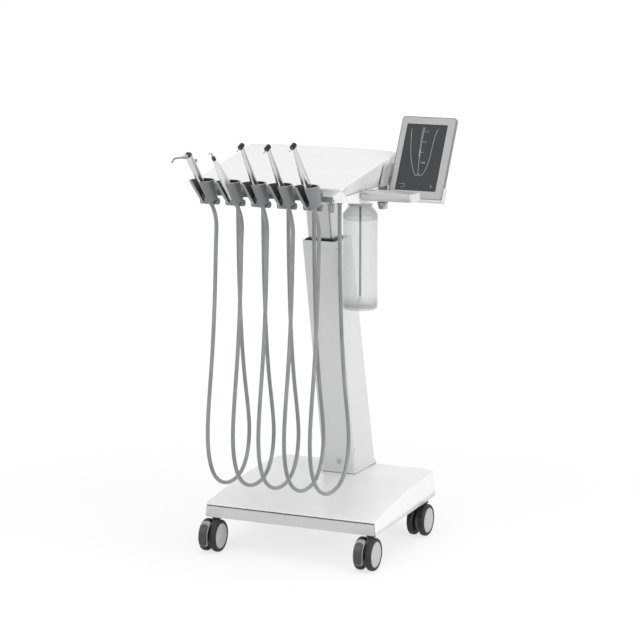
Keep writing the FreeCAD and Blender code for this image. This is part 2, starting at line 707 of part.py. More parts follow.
def makeCaster(name, place, braked):
    """Fork with stem, a pair of wheels on their axle, and on the front casters a brake pedal."""
    trail = -size.casterTrail
    axleZ = size.wheelDiameter / 2
    neckFoot = size.wheelDiameter - 3
    web = newBody(name + "Web")
    neck = size.neckDiameter / 2
    side = [(trail - size.webRadius + 1, axleZ), (trail + size.webRadius - 1, axleZ), (neck, neckFoot + 2),
            (-neck, neckFoot + 2)]
    pad(web, name + "WebPad", outline(web, name + "WebSide", "YZ_Plane", side), size.webThickness,
        middle=True)
    pad(web, name + "WebDisc", disc(web, name + "WebRound", "YZ_Plane", trail, axleZ, size.webRadius),
        size.webThickness, middle=True)
    parts = [web,
             solid("Cylinder", name + "Neck", at(0, 0, neckFoot), Radius=neck,
                   Height=size.baseUnderside - neckFoot - size.fitGap),
             solid("Cylinder", name + "Stem", at(0, 0, neckFoot), Radius=size.stemDiameter / 2,
                   Height=size.baseUnderside - neckFoot + size.stemLength)]
    # The guard covers the inner half of the left wheel and the web.
    middle = -(size.wheelGap + size.wheelWidth) / 4
    guardIn = axleZ + size.hoodGap
    guardOut = guardIn + size.hoodThickness
    # A cylinder's sector starts at its own X: turned so that it starts ahead of the axle and rises.
    forward = Rotation(Vector(0, -1, 0), Vector(0, 0, 1), Vector(-1, 0, 0), "XYZ")
    if braked:
        start = Rotation(Vector(0, 0, 1), float(size.hoodStartAngle))
        guard = solid("Cylinder", name + "GuardOut",
                      at(middle + size.hoodWidth / 2, trail, axleZ, forward * start),
                      Radius=guardOut, Height=size.hoodWidth, Angle=size.hoodSpanAngle)
        core = solid("Cylinder", name + "GuardIn", at(middle + size.hoodWidth, trail, axleZ, forward),
                     Radius=guardIn, Height=2 * size.hoodWidth)
        rib = solid("Cylinder", name + "Rib", at(size.webThickness / 2, trail, axleZ, forward * start),
                    Radius=guardIn + 0.5, Height=size.webThickness, Angle=size.hoodSpanAngle)
        parts += [cut(name + "Guard", guard, core), rib]
    bore = solid("Cylinder", name + "Bore", at(-size.webThickness, trail, axleZ, about("y", 90)),
                 Radius=size.axleDiameter / 2 + size.runGap, Height=2 * size.webThickness)
    keep("caster_fork_" + name, cut(name + "Fork", fuse(name + "ForkBlank", parts), bore), place)

    wheels = []
    inside, outside = size.wheelGap / 2, size.wheelGap / 2 + size.wheelWidth
    hub, rim, hubDepth = size.hubDiameter / 2, size.wheelDiameter / 2, size.hubRecess
    for mirror in (-1, 1):
        wheel = newBody(f"{name}Wheel{'L' if mirror < 0 else 'R'}")
        near, far = mirror * inside, mirror * outside
        hole = size.axleDiameter / 2 + size.runGap
        profile = [(near, hole), (near, rim, size.tyreRound), (far, rim, size.tyreRound), (far, hub),
                   (far - mirror * hubDepth, hub), (far - mirror * hubDepth, hole)]
        turned(wheel, wheel.Name + "Turn",
               outline(wheel, wheel.Name + "Side", "XY_Plane", profile if mirror > 0 else profile[::-1]),
               "H_Axis")
        wheel.Placement = at(0, trail, axleZ)
        wheels.append(wheel)
    axle = solid("Cylinder", name + "Axle", at(-outside + hubDepth, trail, axleZ, about("y", 90)),
                 Radius=size.axleDiameter / 2, Height=2 * (outside - hubDepth))
    keep("caster_wheels_" + name, compound(name + "Wheels", wheels + [axle]), place)

    if braked:
        pedalIn = guardOut + size.pedalGap
        begin = Rotation(Vector(0, 0, 1), float(size.pedalStartAngle))
        plate = solid("Cylinder", name + "PedalOut",
                      at(middle + size.pedalWidth / 2, trail, axleZ, forward * begin),
                      Radius=pedalIn + size.pedalThickness, Height=size.pedalWidth, Angle=size.pedalSpanAngle)
        core = solid("Cylinder", name + "PedalIn", at(middle + size.pedalWidth, trail, axleZ, forward),
                     Radius=pedalIn, Height=2 * size.pedalWidth)
        keep("brake_pedal_" + name, cut(name + "Pedal", plate, core), place)


def makeCasters():
    for endName, y in (("front", -stemHalfY), ("back", stemHalfY)):
        for sideName, x in (("left", -stemHalfX), ("right", stemHalfX)):
            makeCaster(f"{endName}_{sideName}", at(x, y, 0), endName == "front")


# ---------------------------------------------------------------- column

def makeColumn():
    """Shell with its foot flange, mast, collar, inner column, gas spring, plug and screws."""
    half = size.columnWidth / 2
    shell = newBody("columnShell")
    column(shell, "shellOut", half, size.columnFront, size.columnBackTop, size.columnBackFoot,
           footZ, size.columnTop, size.columnRound)
    lip = size.footLip
    flange = block(-half - lip, half + lip, axisY(footZ) - size.columnFront - lip,
                   axisY(footZ) + size.columnBackFoot + lip / 2, size.columnRound)
    pad(shell, "flange", outline(shell, "flangePlan", "XY_Plane", flange, footZ), size.footHeight)
    wall = size.columnWall
    column(shell, "shellIn", half - wall, size.columnFront - wall, size.columnBackTop - wall,
           size.columnBackFoot - wall, footZ - 1, size.columnTop + 1, size.columnRound - wall, True)
    keep("outer_column", shell)

    mastTop = size.columnTop - size.mastDrop
    slant = cosineOf(size.columnLeanAngle)

    def tube(name, side, wallThickness, low, high):
        body = newBody(name)
        outerHalf, innerHalf = side / 2, side / 2 - wallThickness
        column(body, name + "Out", outerHalf, outerHalf / slant, outerHalf / slant, outerHalf / slant,
               low, high, wallThickness + 1.5)
        column(body, name + "In", innerHalf, innerHalf / slant, innerHalf / slant, innerHalf / slant,
               low - 1, high + 1, None, True)
        return body

    keep("column_mast", tube("mast", size.mastSide, size.mastWall, chassisTop, mastTop))

    inner = tube("innerColumn", size.innerSide, size.innerWall, size.innerFoot,
                 size.trayBottom - size.plateThickness)
    topY = axisY(size.trayBottom)
    plate = block(-size.plateHalfX, size.plateHalfX, topY - size.plateHalfY, topY + size.plateHalfY, 6)
    pad(inner, "topPlate", outline(inner, "topPlatePlan", "XY_Plane", plate,
                                   size.trayBottom - size.plateThickness),
        size.plateThickness - 0.05)
    keep("inner_column", inner)

    collar = newBody("collar")
    rim = size.columnTop - size.collarDrop
    gap = size.fitGap
    column(collar, "collarOut", half - wall - gap, size.columnFront - wall - gap,
           size.columnBackTop - wall - gap, size.columnBackTop - wall - gap,
           rim - size.collarThickness, rim, size.columnRound - wall)
    passHalf = size.innerSide / 2 + size.fitGap
    column(collar, "collarIn", passHalf, passHalf / slant, passHalf / slant, passHalf / slant,
           rim - size.collarThickness - 1, rim + 1, None, True)
    keep("column_collar", collar)

    lean = about("x", size.columnLeanAngle)
    rodTop = size.trayBottom - size.plateThickness - 1
    length = (size.springTop - chassisTop) / slant - 3
    bodySolid = solid("Cylinder", "springTube", Radius=size.springBodyDiameter / 2, Height=length)
    bore = solid("Cylinder", "springHole",
                 at(0, 0, (size.springRodFoot - size.springBore - chassisTop) / slant),
                 Radius=size.springRodDiameter / 2 + size.runGap, Height=length)
    foot = chassisTop + 2.5
    keep("gas_spring_body", cut("springBody", bodySolid, bore), at(0, axisY(foot), foot, lean))
    rod = solid("Cylinder", "springRod", Radius=size.springRodDiameter / 2,
                Height=(rodTop - size.springRodFoot) / slant)
    keep("gas_spring_rod", rod, at(0, axisY(size.springRodFoot), size.springRodFoot, lean))

    plugZ = footZ + size.plugHeight
    plugTurn = about("x", 90 + float(size.columnLeanAngle))
    plug = fuse("plug", [
        solid("Cylinder", "plugBody", Radius=size.plugDiameter / 2, Height=3),
        solid("Cone", "plugDome", at(0, 0, 3), Radius1=size.plugDiameter / 2,
              Radius2=size.plugDiameter / 2 - 2, Height=1.5)])
    plug.Placement = at(4, axisY(plugZ) - size.columnFront, plugZ, plugTurn)
    fasteners = [plug]
    for side in (-1, 1):
        for height, forwardShare in ((size.columnTop - 18, 0.75), (footZ + 60, 0.75)):
            screw = solid("Cylinder", "screw", Radius=size.screwDiameter / 2, Height=1.2)
            screw.Placement = at(side * half, axisY(height) - forwardShare * size.columnFront, height,
                                 about("y", 90 * side))
            fasteners.append(screw)
    keep("column_fasteners", compound("fasteners", fasteners))


# ---------------------------------------------------------------- head

def headPlan(inset=0):
    wide, broad = size.headFrontHalf - inset, headBackHalf - inset
    radius = size.headRound
    return [(-wide, size.headFrontY - 30), (wide, size.headFrontY - 30), (wide, size.headFrontY),
            (broad, headBack, radius), (-broad, headBack, radius), (-wide, size.headFrontY)]


def trimToPlan(body, name):
    """Cuts away all that lies outside the head's outline."""
    ring = newSketch(body, name, "XY_Plane")
    wide = headBackHalf + 60
    addLoop(ring, block(-wide, wide, size.headFrontY - 60, headBack + 60))
    addLoop(ring, headPlan())
    pocket(body, name + "Cut", ring)


def makeTray():
    """The head's lower shell, with rail recess, gland holes, handle lug and faceted front corners."""
    front, back = size.headFrontY, headBack
    flat = front + size.traySlopeLength
    body = newBody("tray")
    side = [(front, size.trayFrontBottom), (flat, size.trayBottom), (back, size.trayBottom),
            (back, size.seamSide), (front + size.seamStep, size.seamSide), (front, size.seamFront)]
    pad(body, "trayBlock", outline(body, "traySide", "YZ_Plane", side), 2 * headBackHalf + 4,
        middle=True)
    trimToPlan(body, "trayPlan")
    wall = size.headWall
    recessBack = front + size.railDepth + size.fitGap
    hollowFront = front + size.trayBar
    cavity = [(hollowFront, trayUnder(hollowFront) + wall), (flat, size.trayBottom + wall),
              (back - wall, size.trayBottom + wall), (back - wall, size.seamFront + 5),
              (hollowFront, size.seamFront + 5)]
    pocket(body, "trayCavity", outline(body, "cavitySide", "YZ_Plane", cavity),
           2 * (size.headFrontHalf - wall), middle=True)
    recess = block(front - 5, recessBack, size.trayFrontBottom - 8, size.railTop + size.fitGap)
    pocket(body, "railRecess", outline(body, "recessSide", "YZ_Plane", recess),
           2 * (railHalf + size.fitGap), middle=True)
    holes = newSketch(body, "glandHoles", "XY_Plane", size.trayBottom)
    for x in holderPlaces():
        addCircle(holes, x, size.glandY, size.glandRadius - 1.5 + size.fitGap)
    pocket(body, "glandHolesCut", holes)
    lug = block(size.headFrontHalf - wall, handlePivotX + 9, size.handleZ - 9, size.handleZ + 7.5, 6)
    pad(body, "lug", outline(body, "lugSide", "XZ_Plane", lug, -size.handleY - size.lugDepth / 2),
        size.lugDepth, back=False)
    studHole = disc(body, "studHole", "XY_Plane", size.regulatorX, size.regulatorY,
                    size.studRadius + size.runGap, size.trayBottom)
    pocket(body, "studHoleCut", studHole)
    pinHole = disc(body, "pinHole", "XZ_Plane", handlePivotX, size.handleZ,
                   size.pinDiameter / 2 + size.runGap, -size.handleY + size.lugDepth)
    pocket(body, "pinHoleCut", pinHole, 2 * size.lugDepth)

    tools = []
    for side in (-1, 1):
        corner = Vector(side * float(size.headFrontHalf), float(front), float(size.seamFront))
        across = Vector(side * float(size.headFrontHalf - size.facetInset), float(front),
                        float(size.seamFront - size.facetDrop))
        along = Vector(side * float(size.headFrontHalf), float(front + size.seamStep),
                       float(size.seamSide))
        normal = (across - corner).cross(along - corner).normalize()
        outward = normal if normal.y < 0 else normal * -1
        turn = Rotation(Vector(0, 0, 1), outward)
        reach = 2.5 * size.facetInset
        tool = solid("Box", "facetTool", Length=2 * reach, Width=2 * reach, Height=reach)
        tool.Placement = Placement(corner, turn) * at(-reach, -reach, 0)
        tools.append(tool)
    keep("tray_shell", cut("trayFaceted", body, fuse("facetTools", tools)))


def makeCover():
    """The head's upper shell: a wedge with a sloping back."""
    front, back, gap, wall = size.headFrontY, headBack, size.seamGap, size.headWall
    low = size.seamSide + gap
    step = size.seamStep + gap * 0.3
    body = newBody("headCover")
    side = [(front, size.seamFront + gap), (front + step, low), (back, low),
            (back, size.coverCrest - size.coverBackDrop, size.rearRound),
            (size.coverCrestY, size.coverCrest, size.crestRound),
            (front, size.seamFront + gap + 1.2)]
    pad(body, "coverBlock", outline(body, "coverSide", "YZ_Plane", side),
        2 * headBackHalf + 4, middle=True)
    trimToPlan(body, "coverPlan")
    doc.recompute()
    roundEdges(body, "coverEdges", body.Tip, 4, isCoverTopEdge)
    inside = front + 36
    innerTop = size.seamFront + gap + 36 * coverSlope - 1.4 * wall
    cavity = [(inside, low - 2), (back - wall, low - 2),
              (back - wall, size.coverCrest - size.coverBackDrop - wall),
              (size.coverCrestY, size.coverCrest - 1.3 * wall), (inside, innerTop)]
    pocket(body, "coverCavity", outline(body, "coverInside", "YZ_Plane", cavity),
           2 * (size.headFrontHalf - wall), middle=True)
    keep("head_cover", body)


def isCoverTopEdge(edge):
    """True for the long edges between the cover's top and its two sides."""
    if not isinstance(edge.Curve, Part.Line):
        return False
    a, b = edge.Vertexes[0].Point, edge.Vertexes[1].Point
    alongSide = abs(a.x) > float(size.headFrontHalf) - 1 and abs(b.x) > float(size.headFrontHalf) - 1
    onTop = min(a.z, b.z) > float(size.seamFront) and abs(a.z - b.z) > 5
    return alongSide and onTop and abs(a.y - b.y) > 100


def makeValveBlock():
    """Block of spray and drive air valves on the tray's floor."""
    y, z = axisY(size.trayBottom) - size.valveBlockY / 2, size.trayBottom + size.headWall
    half = size.valveBlockX / 2
    body = newBody("valveBlock")
    corners = block(-half, half, y - size.valveBlockY / 2, y + size.valveBlockY / 2, 2)
    pad(body, "valveBody", outline(body, "valvePlan", "XY_Plane", corners, z), size.valveBlockZ)
    coils = newSketch(body, "coils", "XY_Plane", z)
    for i in range(holderCount):
        x = (i - (holderCount - 1) / 2) * size.valveBlockX / (holderCount + 0.5)
        addCircle(coils, x, y, size.valveDiameter / 2)
    pad(body, "coilPad", coils, size.valveBlockZ + 18)
    keep("valve_block", body)


# ---------------------------------------------------------------- holders

def holderPlaces():
    return [(i - (holderCount - 1) / 2) * size.holderPitch for i in range(holderCount)]


def makeRail():
    body = newBody("rail")
    back = size.headFrontY + size.railDepth
    side = block(size.headFrontY + 0.5, back, size.railTop - size.railHeight, size.railTop, 1.5)
    pad(body, "railPad", outline(body, "railSide", "YZ_Plane", side), 2 * railHalf, middle=True)
    keep("holder_rail", body)


def makeHolder(index, x):
    """An open cup with a level mouth, slotted in front, with a lug on the rail and a saddle for its valve."""
    place = at(x, cupFootY, cupFootZ, about("x", size.cupLeanAngle))
    name = f"cup{index}"
    wall, length, low = size.cupWall, size.cupLength, size.cupLift
    flare = (size.cupMouthRadius - size.cupFootRadius) / length
    cone = solid("Cone", name + "Out", at(0, 0, low), Radius1=size.cupFootRadius,
                 Radius2=size.cupMouthRadius, Height=length)
    lugBack = size.headFrontY - size.runGap
    lugDepth = size.cupAhead - 0.5
    lugWorld = at(x - size.lugWidth / 2, lugBack - lugDepth, size.railTop - size.railHeight + 0.5)
    lug = solid("Box", name + "Lug", place.inverse() * lugWorld, Length=size.lugWidth, Width=lugDepth,
                Height=size.lugHeight)
    saddleTop = low + wall - 1
    saddle = solid("Box", name + "Saddle",
                   at(-size.saddleWidth / 2, size.saddleDepth, saddleTop - size.saddleHeight),
                   Length=size.saddleWidth, Width=size.saddleDepth, Height=size.saddleHeight)
    blank = fuse(name + "Blank", [cone, lug, saddle])
    inner = solid("Cone", name + "In", at(0, 0, low + wall),
                  Radius1=size.cupFootRadius - wall + flare * wall,
                  Radius2=size.cupMouthRadius - wall + flare * wall, Height=length)
    hole = solid("Cylinder", name + "Hole", at(0, 0, saddleTop - size.saddleHeight - 1),
                 Radius=size.cupHoleRadius, Height=size.saddleHeight + wall)
    slot = newBody(name + "Slot")
    over = 2
    widen = (size.slotMouth - size.slotFoot) / 2 / length
    foot, mouth = size.slotFoot / 2 - over * widen, size.slotMouth / 2 + over * widen
    pad(slot, name + "SlotPad",
        outline(slot, name + "SlotFace", "XZ_Plane",
                [(-foot, low - over), (foot, low - over), (mouth, low + length + over),
                 (-mouth, low + length + over)]),
        size.cupMouthRadius + 10)
    reach = 2 * size.cupMouthRadius
    level = at(x - reach, cupFootY - 2 * reach, size.railTop + size.cupLevel)
    above = solid("Box", name + "Above", place.inverse() * level, Length=2 * reach, Width=3 * reach,
                  Height=length)
    seat = solid("Cylinder", name + "Seat", barrelPlace(size.barrelLength), Height=2 * size.barrelLength,
                 Radius=size.barrelDiameter / 2 + 2 * size.runGap)
    tools = fuse(name + "Tools", [inner, hole, slot, above, seat])
    keep(f"holder_{index}", cut(name, blank, tools), place)


def barrelPlace(reach):
    """The valve's axis in its cup's own frame, starting at a reach beside the valve's middle."""
    return at(-reach - size.barrelShift, size.barrelBehind, -size.barrelBelow, about("y", 90))


def makeHolderValves():
    """One cross barrel under the back of each cup."""
    barrels = []
    for x in holderPlaces():
        place = at(x, cupFootY, cupFootZ, about("x", size.cupLeanAngle))
        core = solid("Cylinder", "barrel", Radius=size.barrelDiameter / 2, Height=size.barrelLength)
        core.Placement = place * barrelPlace(size.barrelLength / 2)
        barrels.append(core)
    keep("holder_valves", compound("valveBarrels", barrels))


# ---------------------------------------------------------------- instruments

def instrumentPlace(x, lean):
    """An instrument stands with its hose end in the middle of its cup's foot."""
    return at(x, cupFootY, cupFootZ, about("x", lean))


def seatHeight(lean):
    """Where the seating ring rests on the cup's floor when the instrument leans against the cup."""
    apart = abs(lean - size.cupLeanAngle)
    floor = size.cupLift + size.cupWall + 0.1
    return floor / cosineOf(apart) + size.ringRadius * tangentOf(apart)


def handpiece(name, lean, profile):
    """A turned body: hose connector, seating ring, then the given (radius, height) corners."""
    body = newBody(name)
    seat = seatHeight(lean)
    corners = [(0, 0), (size.tailRadius, 0), (size.tailRadius, seat), (size.ringRadius, seat),
               (size.ringRadius, seat + size.ringHeight)] + profile
    turned(body, name + "Turn", outline(body, name + "Side", "XZ_Plane", corners))
    return body


def makeSyringe(x):
    """Three-way syringe: body, two buttons and a nozzle that turns in its nut."""
    lean, length, radius = size.syringeLeanAngle, size.syringeLength, size.syringeRadius
    place = instrumentPlace(x, lean)
    seat = seatHeight(lean)
    body = handpiece("syringeBody", lean, [
        (radius, seat + size.ringHeight + 3), (radius - size.syringeWaist, length * 0.45),
        (radius, length * 0.72),
        (radius, length - 6, 3), (radius - 4, length), (0, length)])
    faceY = radius + 0.6
    pads = newSketch(body, "buttonCollars", "XZ_Plane", -faceY)
    for side in (-1, 1):
        addCircle(pads, side * size.buttonSpread, size.buttonHeight, size.buttonRadius + size.buttonCollar)
    pad(body, "buttonCollarPad", pads, radius * 0.8)
    wells = newSketch(body, "buttonWells", "XZ_Plane", -faceY - 1)
    for side in (-1, 1):
        addCircle(wells, side * size.buttonSpread, size.buttonHeight, size.buttonRadius + size.runGap)
    pocket(body, "buttonWellCut", wells, 7, back=True)
    nutBore = solid("Cylinder", "nutBore", nozzlePlace(), Radius=size.nozzleRootRadius + size.runGap,
                    Height=2 * size.nozzleRootLength)
    keep("syringe_body", cut("syringeDrilled", body, nutBore), place)

    for side, name in ((-1, "air"), (1, "water")):
        button = solid("Cylinder", name + "Button", Radius=size.buttonRadius,
                       Height=size.buttonDepth + size.buttonProud)
        stand = at(side * size.buttonSpread, faceY - size.buttonDepth, size.buttonHeight, about("x", -90))
        edge = rounded(name + "ButtonEdge", button, 1, isTopCircle)
        keep(f"syringe_{name}_button", edge, place * stand)

    root = solid("Cylinder", "nozzleRoot", Radius=size.nozzleRootRadius, Height=size.nozzleRootLength)
    nut = solid("Cone", "nozzleNut", at(0, 0, size.nozzleRootLength - 0.5), Radius1=size.nutFootRadius,
                Radius2=size.nutTopRadius, Height=size.nutLength)
    pipe = doc.addObject("Part::Feature", "nozzlePipe")
    bend = Vector(0, 0, float(size.nozzleLength + size.nozzleRootLength))
    dip = about("x", size.nozzleBendAngle)
    tip = bend + dip.multVec(Vector(0, 0, float(size.nozzleTip)))
    pipe.Shape = tubeAlong([Vector(0, 0, 2), bend, tip], float(size.nozzleRadius), 0.6)
    keep("syringe_nozzle", fuse("nozzle", [root, nut, pipe]), place * nozzlePlace(3))


def nozzlePlace(lift=0):
    """The nozzle's seat in the syringe's own frame: near the top, leaning forward."""
    turn = about("x", size.nozzleLeanAngle)
    seat = Vector(0, 0, float(size.syringeLength - size.nozzleSeatDrop))
    return Placement(seat + turn.multVec(Vector(0, 0, float(lift))), turn)


def isTopCircle(edge):
    return isinstance(edge.Curve, Part.Circle) and edge.Vertexes[0].Z > 1


def makeScaler(x):
    """Ultrasonic scaler: sleeve, nose and a hooked tip."""
    lean, length, radius = size.scalerLeanAngle, size.scalerLength, size.scalerRadius
    place = instrumentPlace(x, lean)
    seat = seatHeight(lean)
    body = handpiece("scalerBody", lean, [
        (radius - 1, seat + size.ringHeight + 3), (radius - 0.6, length * 0.4), (radius, length * 0.52),
        (radius * 0.88, length * 0.71), (radius * 0.67, length * 0.86),
        (size.scalerNose + 0.5, length - 5), (size.scalerNose, length), (0, length)])
    keep("scaler_body", body, place)
    tip = newBody("scalerTip")
    collar, shank = size.tipCollarRadius, size.tipShankRadius
    start = length + size.runGap
    collarTop = length + size.tipCollarLength
    neckTop = collarTop + size.tipNeckLength
    end = neckTop + size.tipShankLength
    turned(tip, "tipTurn", outline(tip, "tipSide", "XZ_Plane", [
        (0, start), (collar, start), (collar, collarTop), (size.tipNeckRadius, neckTop),
        (shank, end), (0, end)]))
    hook = doc.addObject("Part::Feature", "tipHook")
    top = Vector(0, 0, float(end - shank))
    rise = float(size.hookRise)
    hook.Shape = tubeAlong([top, top + Vector(0, 0.06 * rise, rise),
                            top + Vector(0, -float(size.hookReach), 1.5 * rise)], float(size.hookRadius), 0.6)
    keep("scaler_tip", fuse("scalerTipWhole", [tip, hook]), place)


def makeTurbine(index, x, stout):
    """Turbine handpiece: body, slim or stout, with its head, push-button cap and bur."""
    lean, length = size.turbineLeanAngle, size.turbineLength
    if stout:
        length += size.motorReach
    place = instrumentPlace(x, lean)
    seat = seatHeight(lean)
    radius, neck = size.turbineRadius, size.turbineNeckRadius
    head, reach = size.turbineHeadRadius, size.turbineHeadLength
    name = f"turbine{index}"
    slim = [(radius, seat + size.ringHeight + 2), (radius, size.gripFoot - 2),
            (radius - 0.8, size.gripFoot), (radius - 0.6, size.gripMiddle), (radius - 2, size.gripTop),
            (neck + 0.4, length - 4.5 * neck)]
    motor = size.motorRadius
    full = [(motor, seat + size.ringHeight + 2), (motor, size.motorTop),
            (motor - 0.6, size.motorShoulder), (motor * 0.78, size.motorWaist),
            (neck + 0.8, length - 4.5 * neck)]
    body = handpiece(name + "Body", lean, (full if stout else slim) + [
        (neck, length), (neck, length + head), (0, length + head)])
    headTurn = about("x", size.burLeanAngle)
    headPlace = at(0, 0, length + size.headLift, headTurn)
    barrel = solid("Cylinder", name + "Head", headPlace * at(0, 0, -0.4 * reach), Radius=head,
                   Height=reach)
    shank, chuck, depth = size.burRadius, size.burRadius + size.chuckWall, size.chuckDepth
    hole = solid("Cylinder", name + "ChuckHole", headPlace * at(0, 0, 0.6 * reach - depth),
                 Radius=chuck + size.runGap, Height=depth + 1)
    well = solid("Cylinder", name + "CapWell", headPlace * at(0, 0, -0.4 * reach - 1),
                 Radius=head - 1 + size.runGap, Height=3.2)
    whole = fuse(name + "Whole", [body, barrel])
    keep(f"turbine_{index}", cut(name, whole, fuse(name + "Holes", [hole, well])), place)

    cap = rounded(name + "CapEdge", solid("Cylinder", name + "Cap", Radius=head - 1, Height=2.2), 0.5,
                  lambda edge: isinstance(edge.Curve, Part.Circle) and edge.Vertexes[0].Z < 0.1)
    keep(f"turbine_cap_{index}", cap, place * headPlace * at(0, 0, -0.4 * reach - 1.2))

    bur = fuse(name + "Bur", [
        solid("Cylinder", name + "Chuck", Radius=chuck, Height=depth - 0.4),
        solid("Cylinder", name + "Shank", at(0, 0, 4), Radius=shank, Height=size.burReach - 3),
        solid("Cone", name + "BurTip", at(0, 0, size.burReach - 0.5), Radius1=shank,
              Radius2=shank * 0.5, Height=5)])
    keep(f"bur_{index}", bur, place * headPlace * at(0, 0, 0.6 * reach - depth + 0.2))


# ---------------------------------------------------------------- hoses

def tubeAlong(points, radius, share=0.45, report=None):
    """A round rod along straight runs joined by tangent arcs, each as large as its two runs allow."""
    edges = []
    last = points[0]
    radii = []
    for before, here, after in zip(points, points[1:], points[2:]):
        inWay, outWay = (here - before).normalize(), (after - here).normalize()
        turn = inWay.getAngle(outWay)
        shorter = min((here - before).Length, (after - here).Length)
        reach = share * shorter
        bend = reach / math.tan(turn / 2)
        radii.append(bend)
        start, stop = here - inWay * reach, here + outWay * reach
        middle = here + (outWay - inWay).normalize() * (bend / math.cos(turn / 2) - bend)
        edges.append(Part.LineSegment(last, start).toShape())
        edges.append(Part.Arc(start, middle, stop).toShape())
        last = stop
    edges.append(Part.LineSegment(last, points[-1]).toShape())
    path = Part.Wire(edges)
    ring = Part.Wire(Part.makeCircle(radius, points[0], (points[1] - points[0]).normalize()))
    rod = path.makePipeShell([ring], True, True)
    expected = math.pi * radius ** 2 * path.Length
    if abs(rod.Volume - expected) > 0.01 * expected:
        raise RuntimeError("a swept rod has the wrong volume")
    if report:
        print(f"{report}: length {path.Length:.0f} mm, radii", " ".join(f"{r:.0f}" for r in radii))
    return rod


# The hose's way in its own upright plane, as (y, z): down from the gland, round the loop and up again.
hoseRoute = [(-181, 823), (-181, 762), (-179, 680), (-174, 590), (-166, 500), (-153, 415), (-135, 340),
             (-126, 282), (-138, 227), (-168, 193), (-216, 181), (-268, 188), (-314, 216), (-339, 265),
             (-344, 324), (-334, 397), (-319, 477), (-307, 562), (-299, 652), (-294, 742)]


def makeHoses(leans):
    for index, (x, lean) in enumerate(zip(holderPlaces(), leans), start=1):
        tail = Vector(float(x), float(cupFootY), float(cupFootZ))
        along = about("x", lean).multVec(Vector(0, 0, -1))
        points = [Vector(float(x), y, z) for y, z in hoseRoute]
        points[0] = Vector(float(x), float(size.glandY), float(size.glandFoot))
        points[1].y = float(size.glandY)
        points += [tail + along * float(size.lastRun), tail]
        hose = doc.addObject("Part::Feature", f"hose{index}")
        hose.Shape = tubeAlong(points, float(size.hoseDiameter) / 2, report=f"hose_{index}")
        keep(f"hose_{index}", hose)


def makeGlands():
    """Threaded glands through the tray's floor, one above each hose."""
    glands = []
    flangeTop = trayUnder(size.glandY + size.glandRadius) - 0.2
    for i, x in enumerate(holderPlaces()):
        gland = newBody(f"gland{i}")
        profile = [(0, size.glandFoot), (size.glandRadius - 2, size.glandFoot),
                   (size.glandRadius - 1, flangeTop - size.glandFlange),
                   (size.glandRadius, flangeTop - size.glandFlange), (size.glandRadius, flangeTop),
                   (size.glandRadius - 1.5, flangeTop), (size.glandRadius - 1.5, flangeTop + 10),
                   (0, flangeTop + 10)]
        turned(gland, f"gland{i}Turn", outline(gland, f"gland{i}Side", "XZ_Plane", profile))
        gland.Placement = at(x, size.glandY, 0)
        glands.append(gland)
    keep("hose_glands", compound("glands", glands))


# ---------------------------------------------------------------- bottle

def makeBottle():
    place = at(size.bottleX, size.bottleY, 0)
    wall, shoulder = size.bottleWall, size.bottleShoulder
    bottle = newBody("bottleBody")
    outer = [(0, size.bottleFoot), (size.bottleRadius, size.bottleFoot, 7),
             (size.bottleRadius, shoulder, 9), (size.neckRadius + 2, size.capFoot - 1),
             (size.neckRadius, size.capFoot - 1), (size.neckRadius, size.neckTop), (0, size.neckTop)]
    turned(bottle, "bottleOut", outline(bottle, "bottleSide", "XZ_Plane", outer))
    inner = [(0, size.bottleFoot + wall), (size.bottleRadius - wall, size.bottleFoot + wall, 5),
             (size.bottleRadius - wall, shoulder - 1, 8), (size.neckRadius - wall, size.capFoot - 2),
             (size.neckRadius - wall, size.neckTop + 1), (0, size.neckTop + 1)]
    turned(bottle, "bottleIn", outline(bottle, "bottleInside", "XZ_Plane", inner), cut=True)
    keep("bottle", bottle, place)

    cap = newBody("bottleCapBody")
    roof = size.neckTop + size.fitGap
    rim = size.capRadius
    turned(cap, "capTurn", outline(cap, "capSide", "XZ_Plane", [
        (size.neckRadius + size.runGap, size.capFoot), (rim, size.capFoot, 1.5),
        (rim, size.trayBottom - 0.05), (0, size.trayBottom - 0.05), (0, roof),
        (size.neckRadius + size.runGap, roof)]))
    keep("bottle_cap", cap, place)

    tube = newBody("pickupTube")
    filterTop = size.filterFoot + size.filterHeight
    turned(tube, "tubeTurn", outline(tube, "tubeSide", "XZ_Plane", [
        (0, size.filterFoot), (size.filterRadius, size.filterFoot),
        (size.filterRadius, size.filterFoot + 2), (size.tubeRadius + 0.6, filterTop),
        (size.tubeRadius, filterTop), (size.tubeRadius, roof - 0.05), (0, roof - 0.05)]))
    keep("pickup_tube", tube, place)


# ---------------------------------------------------------------- handle and knobs

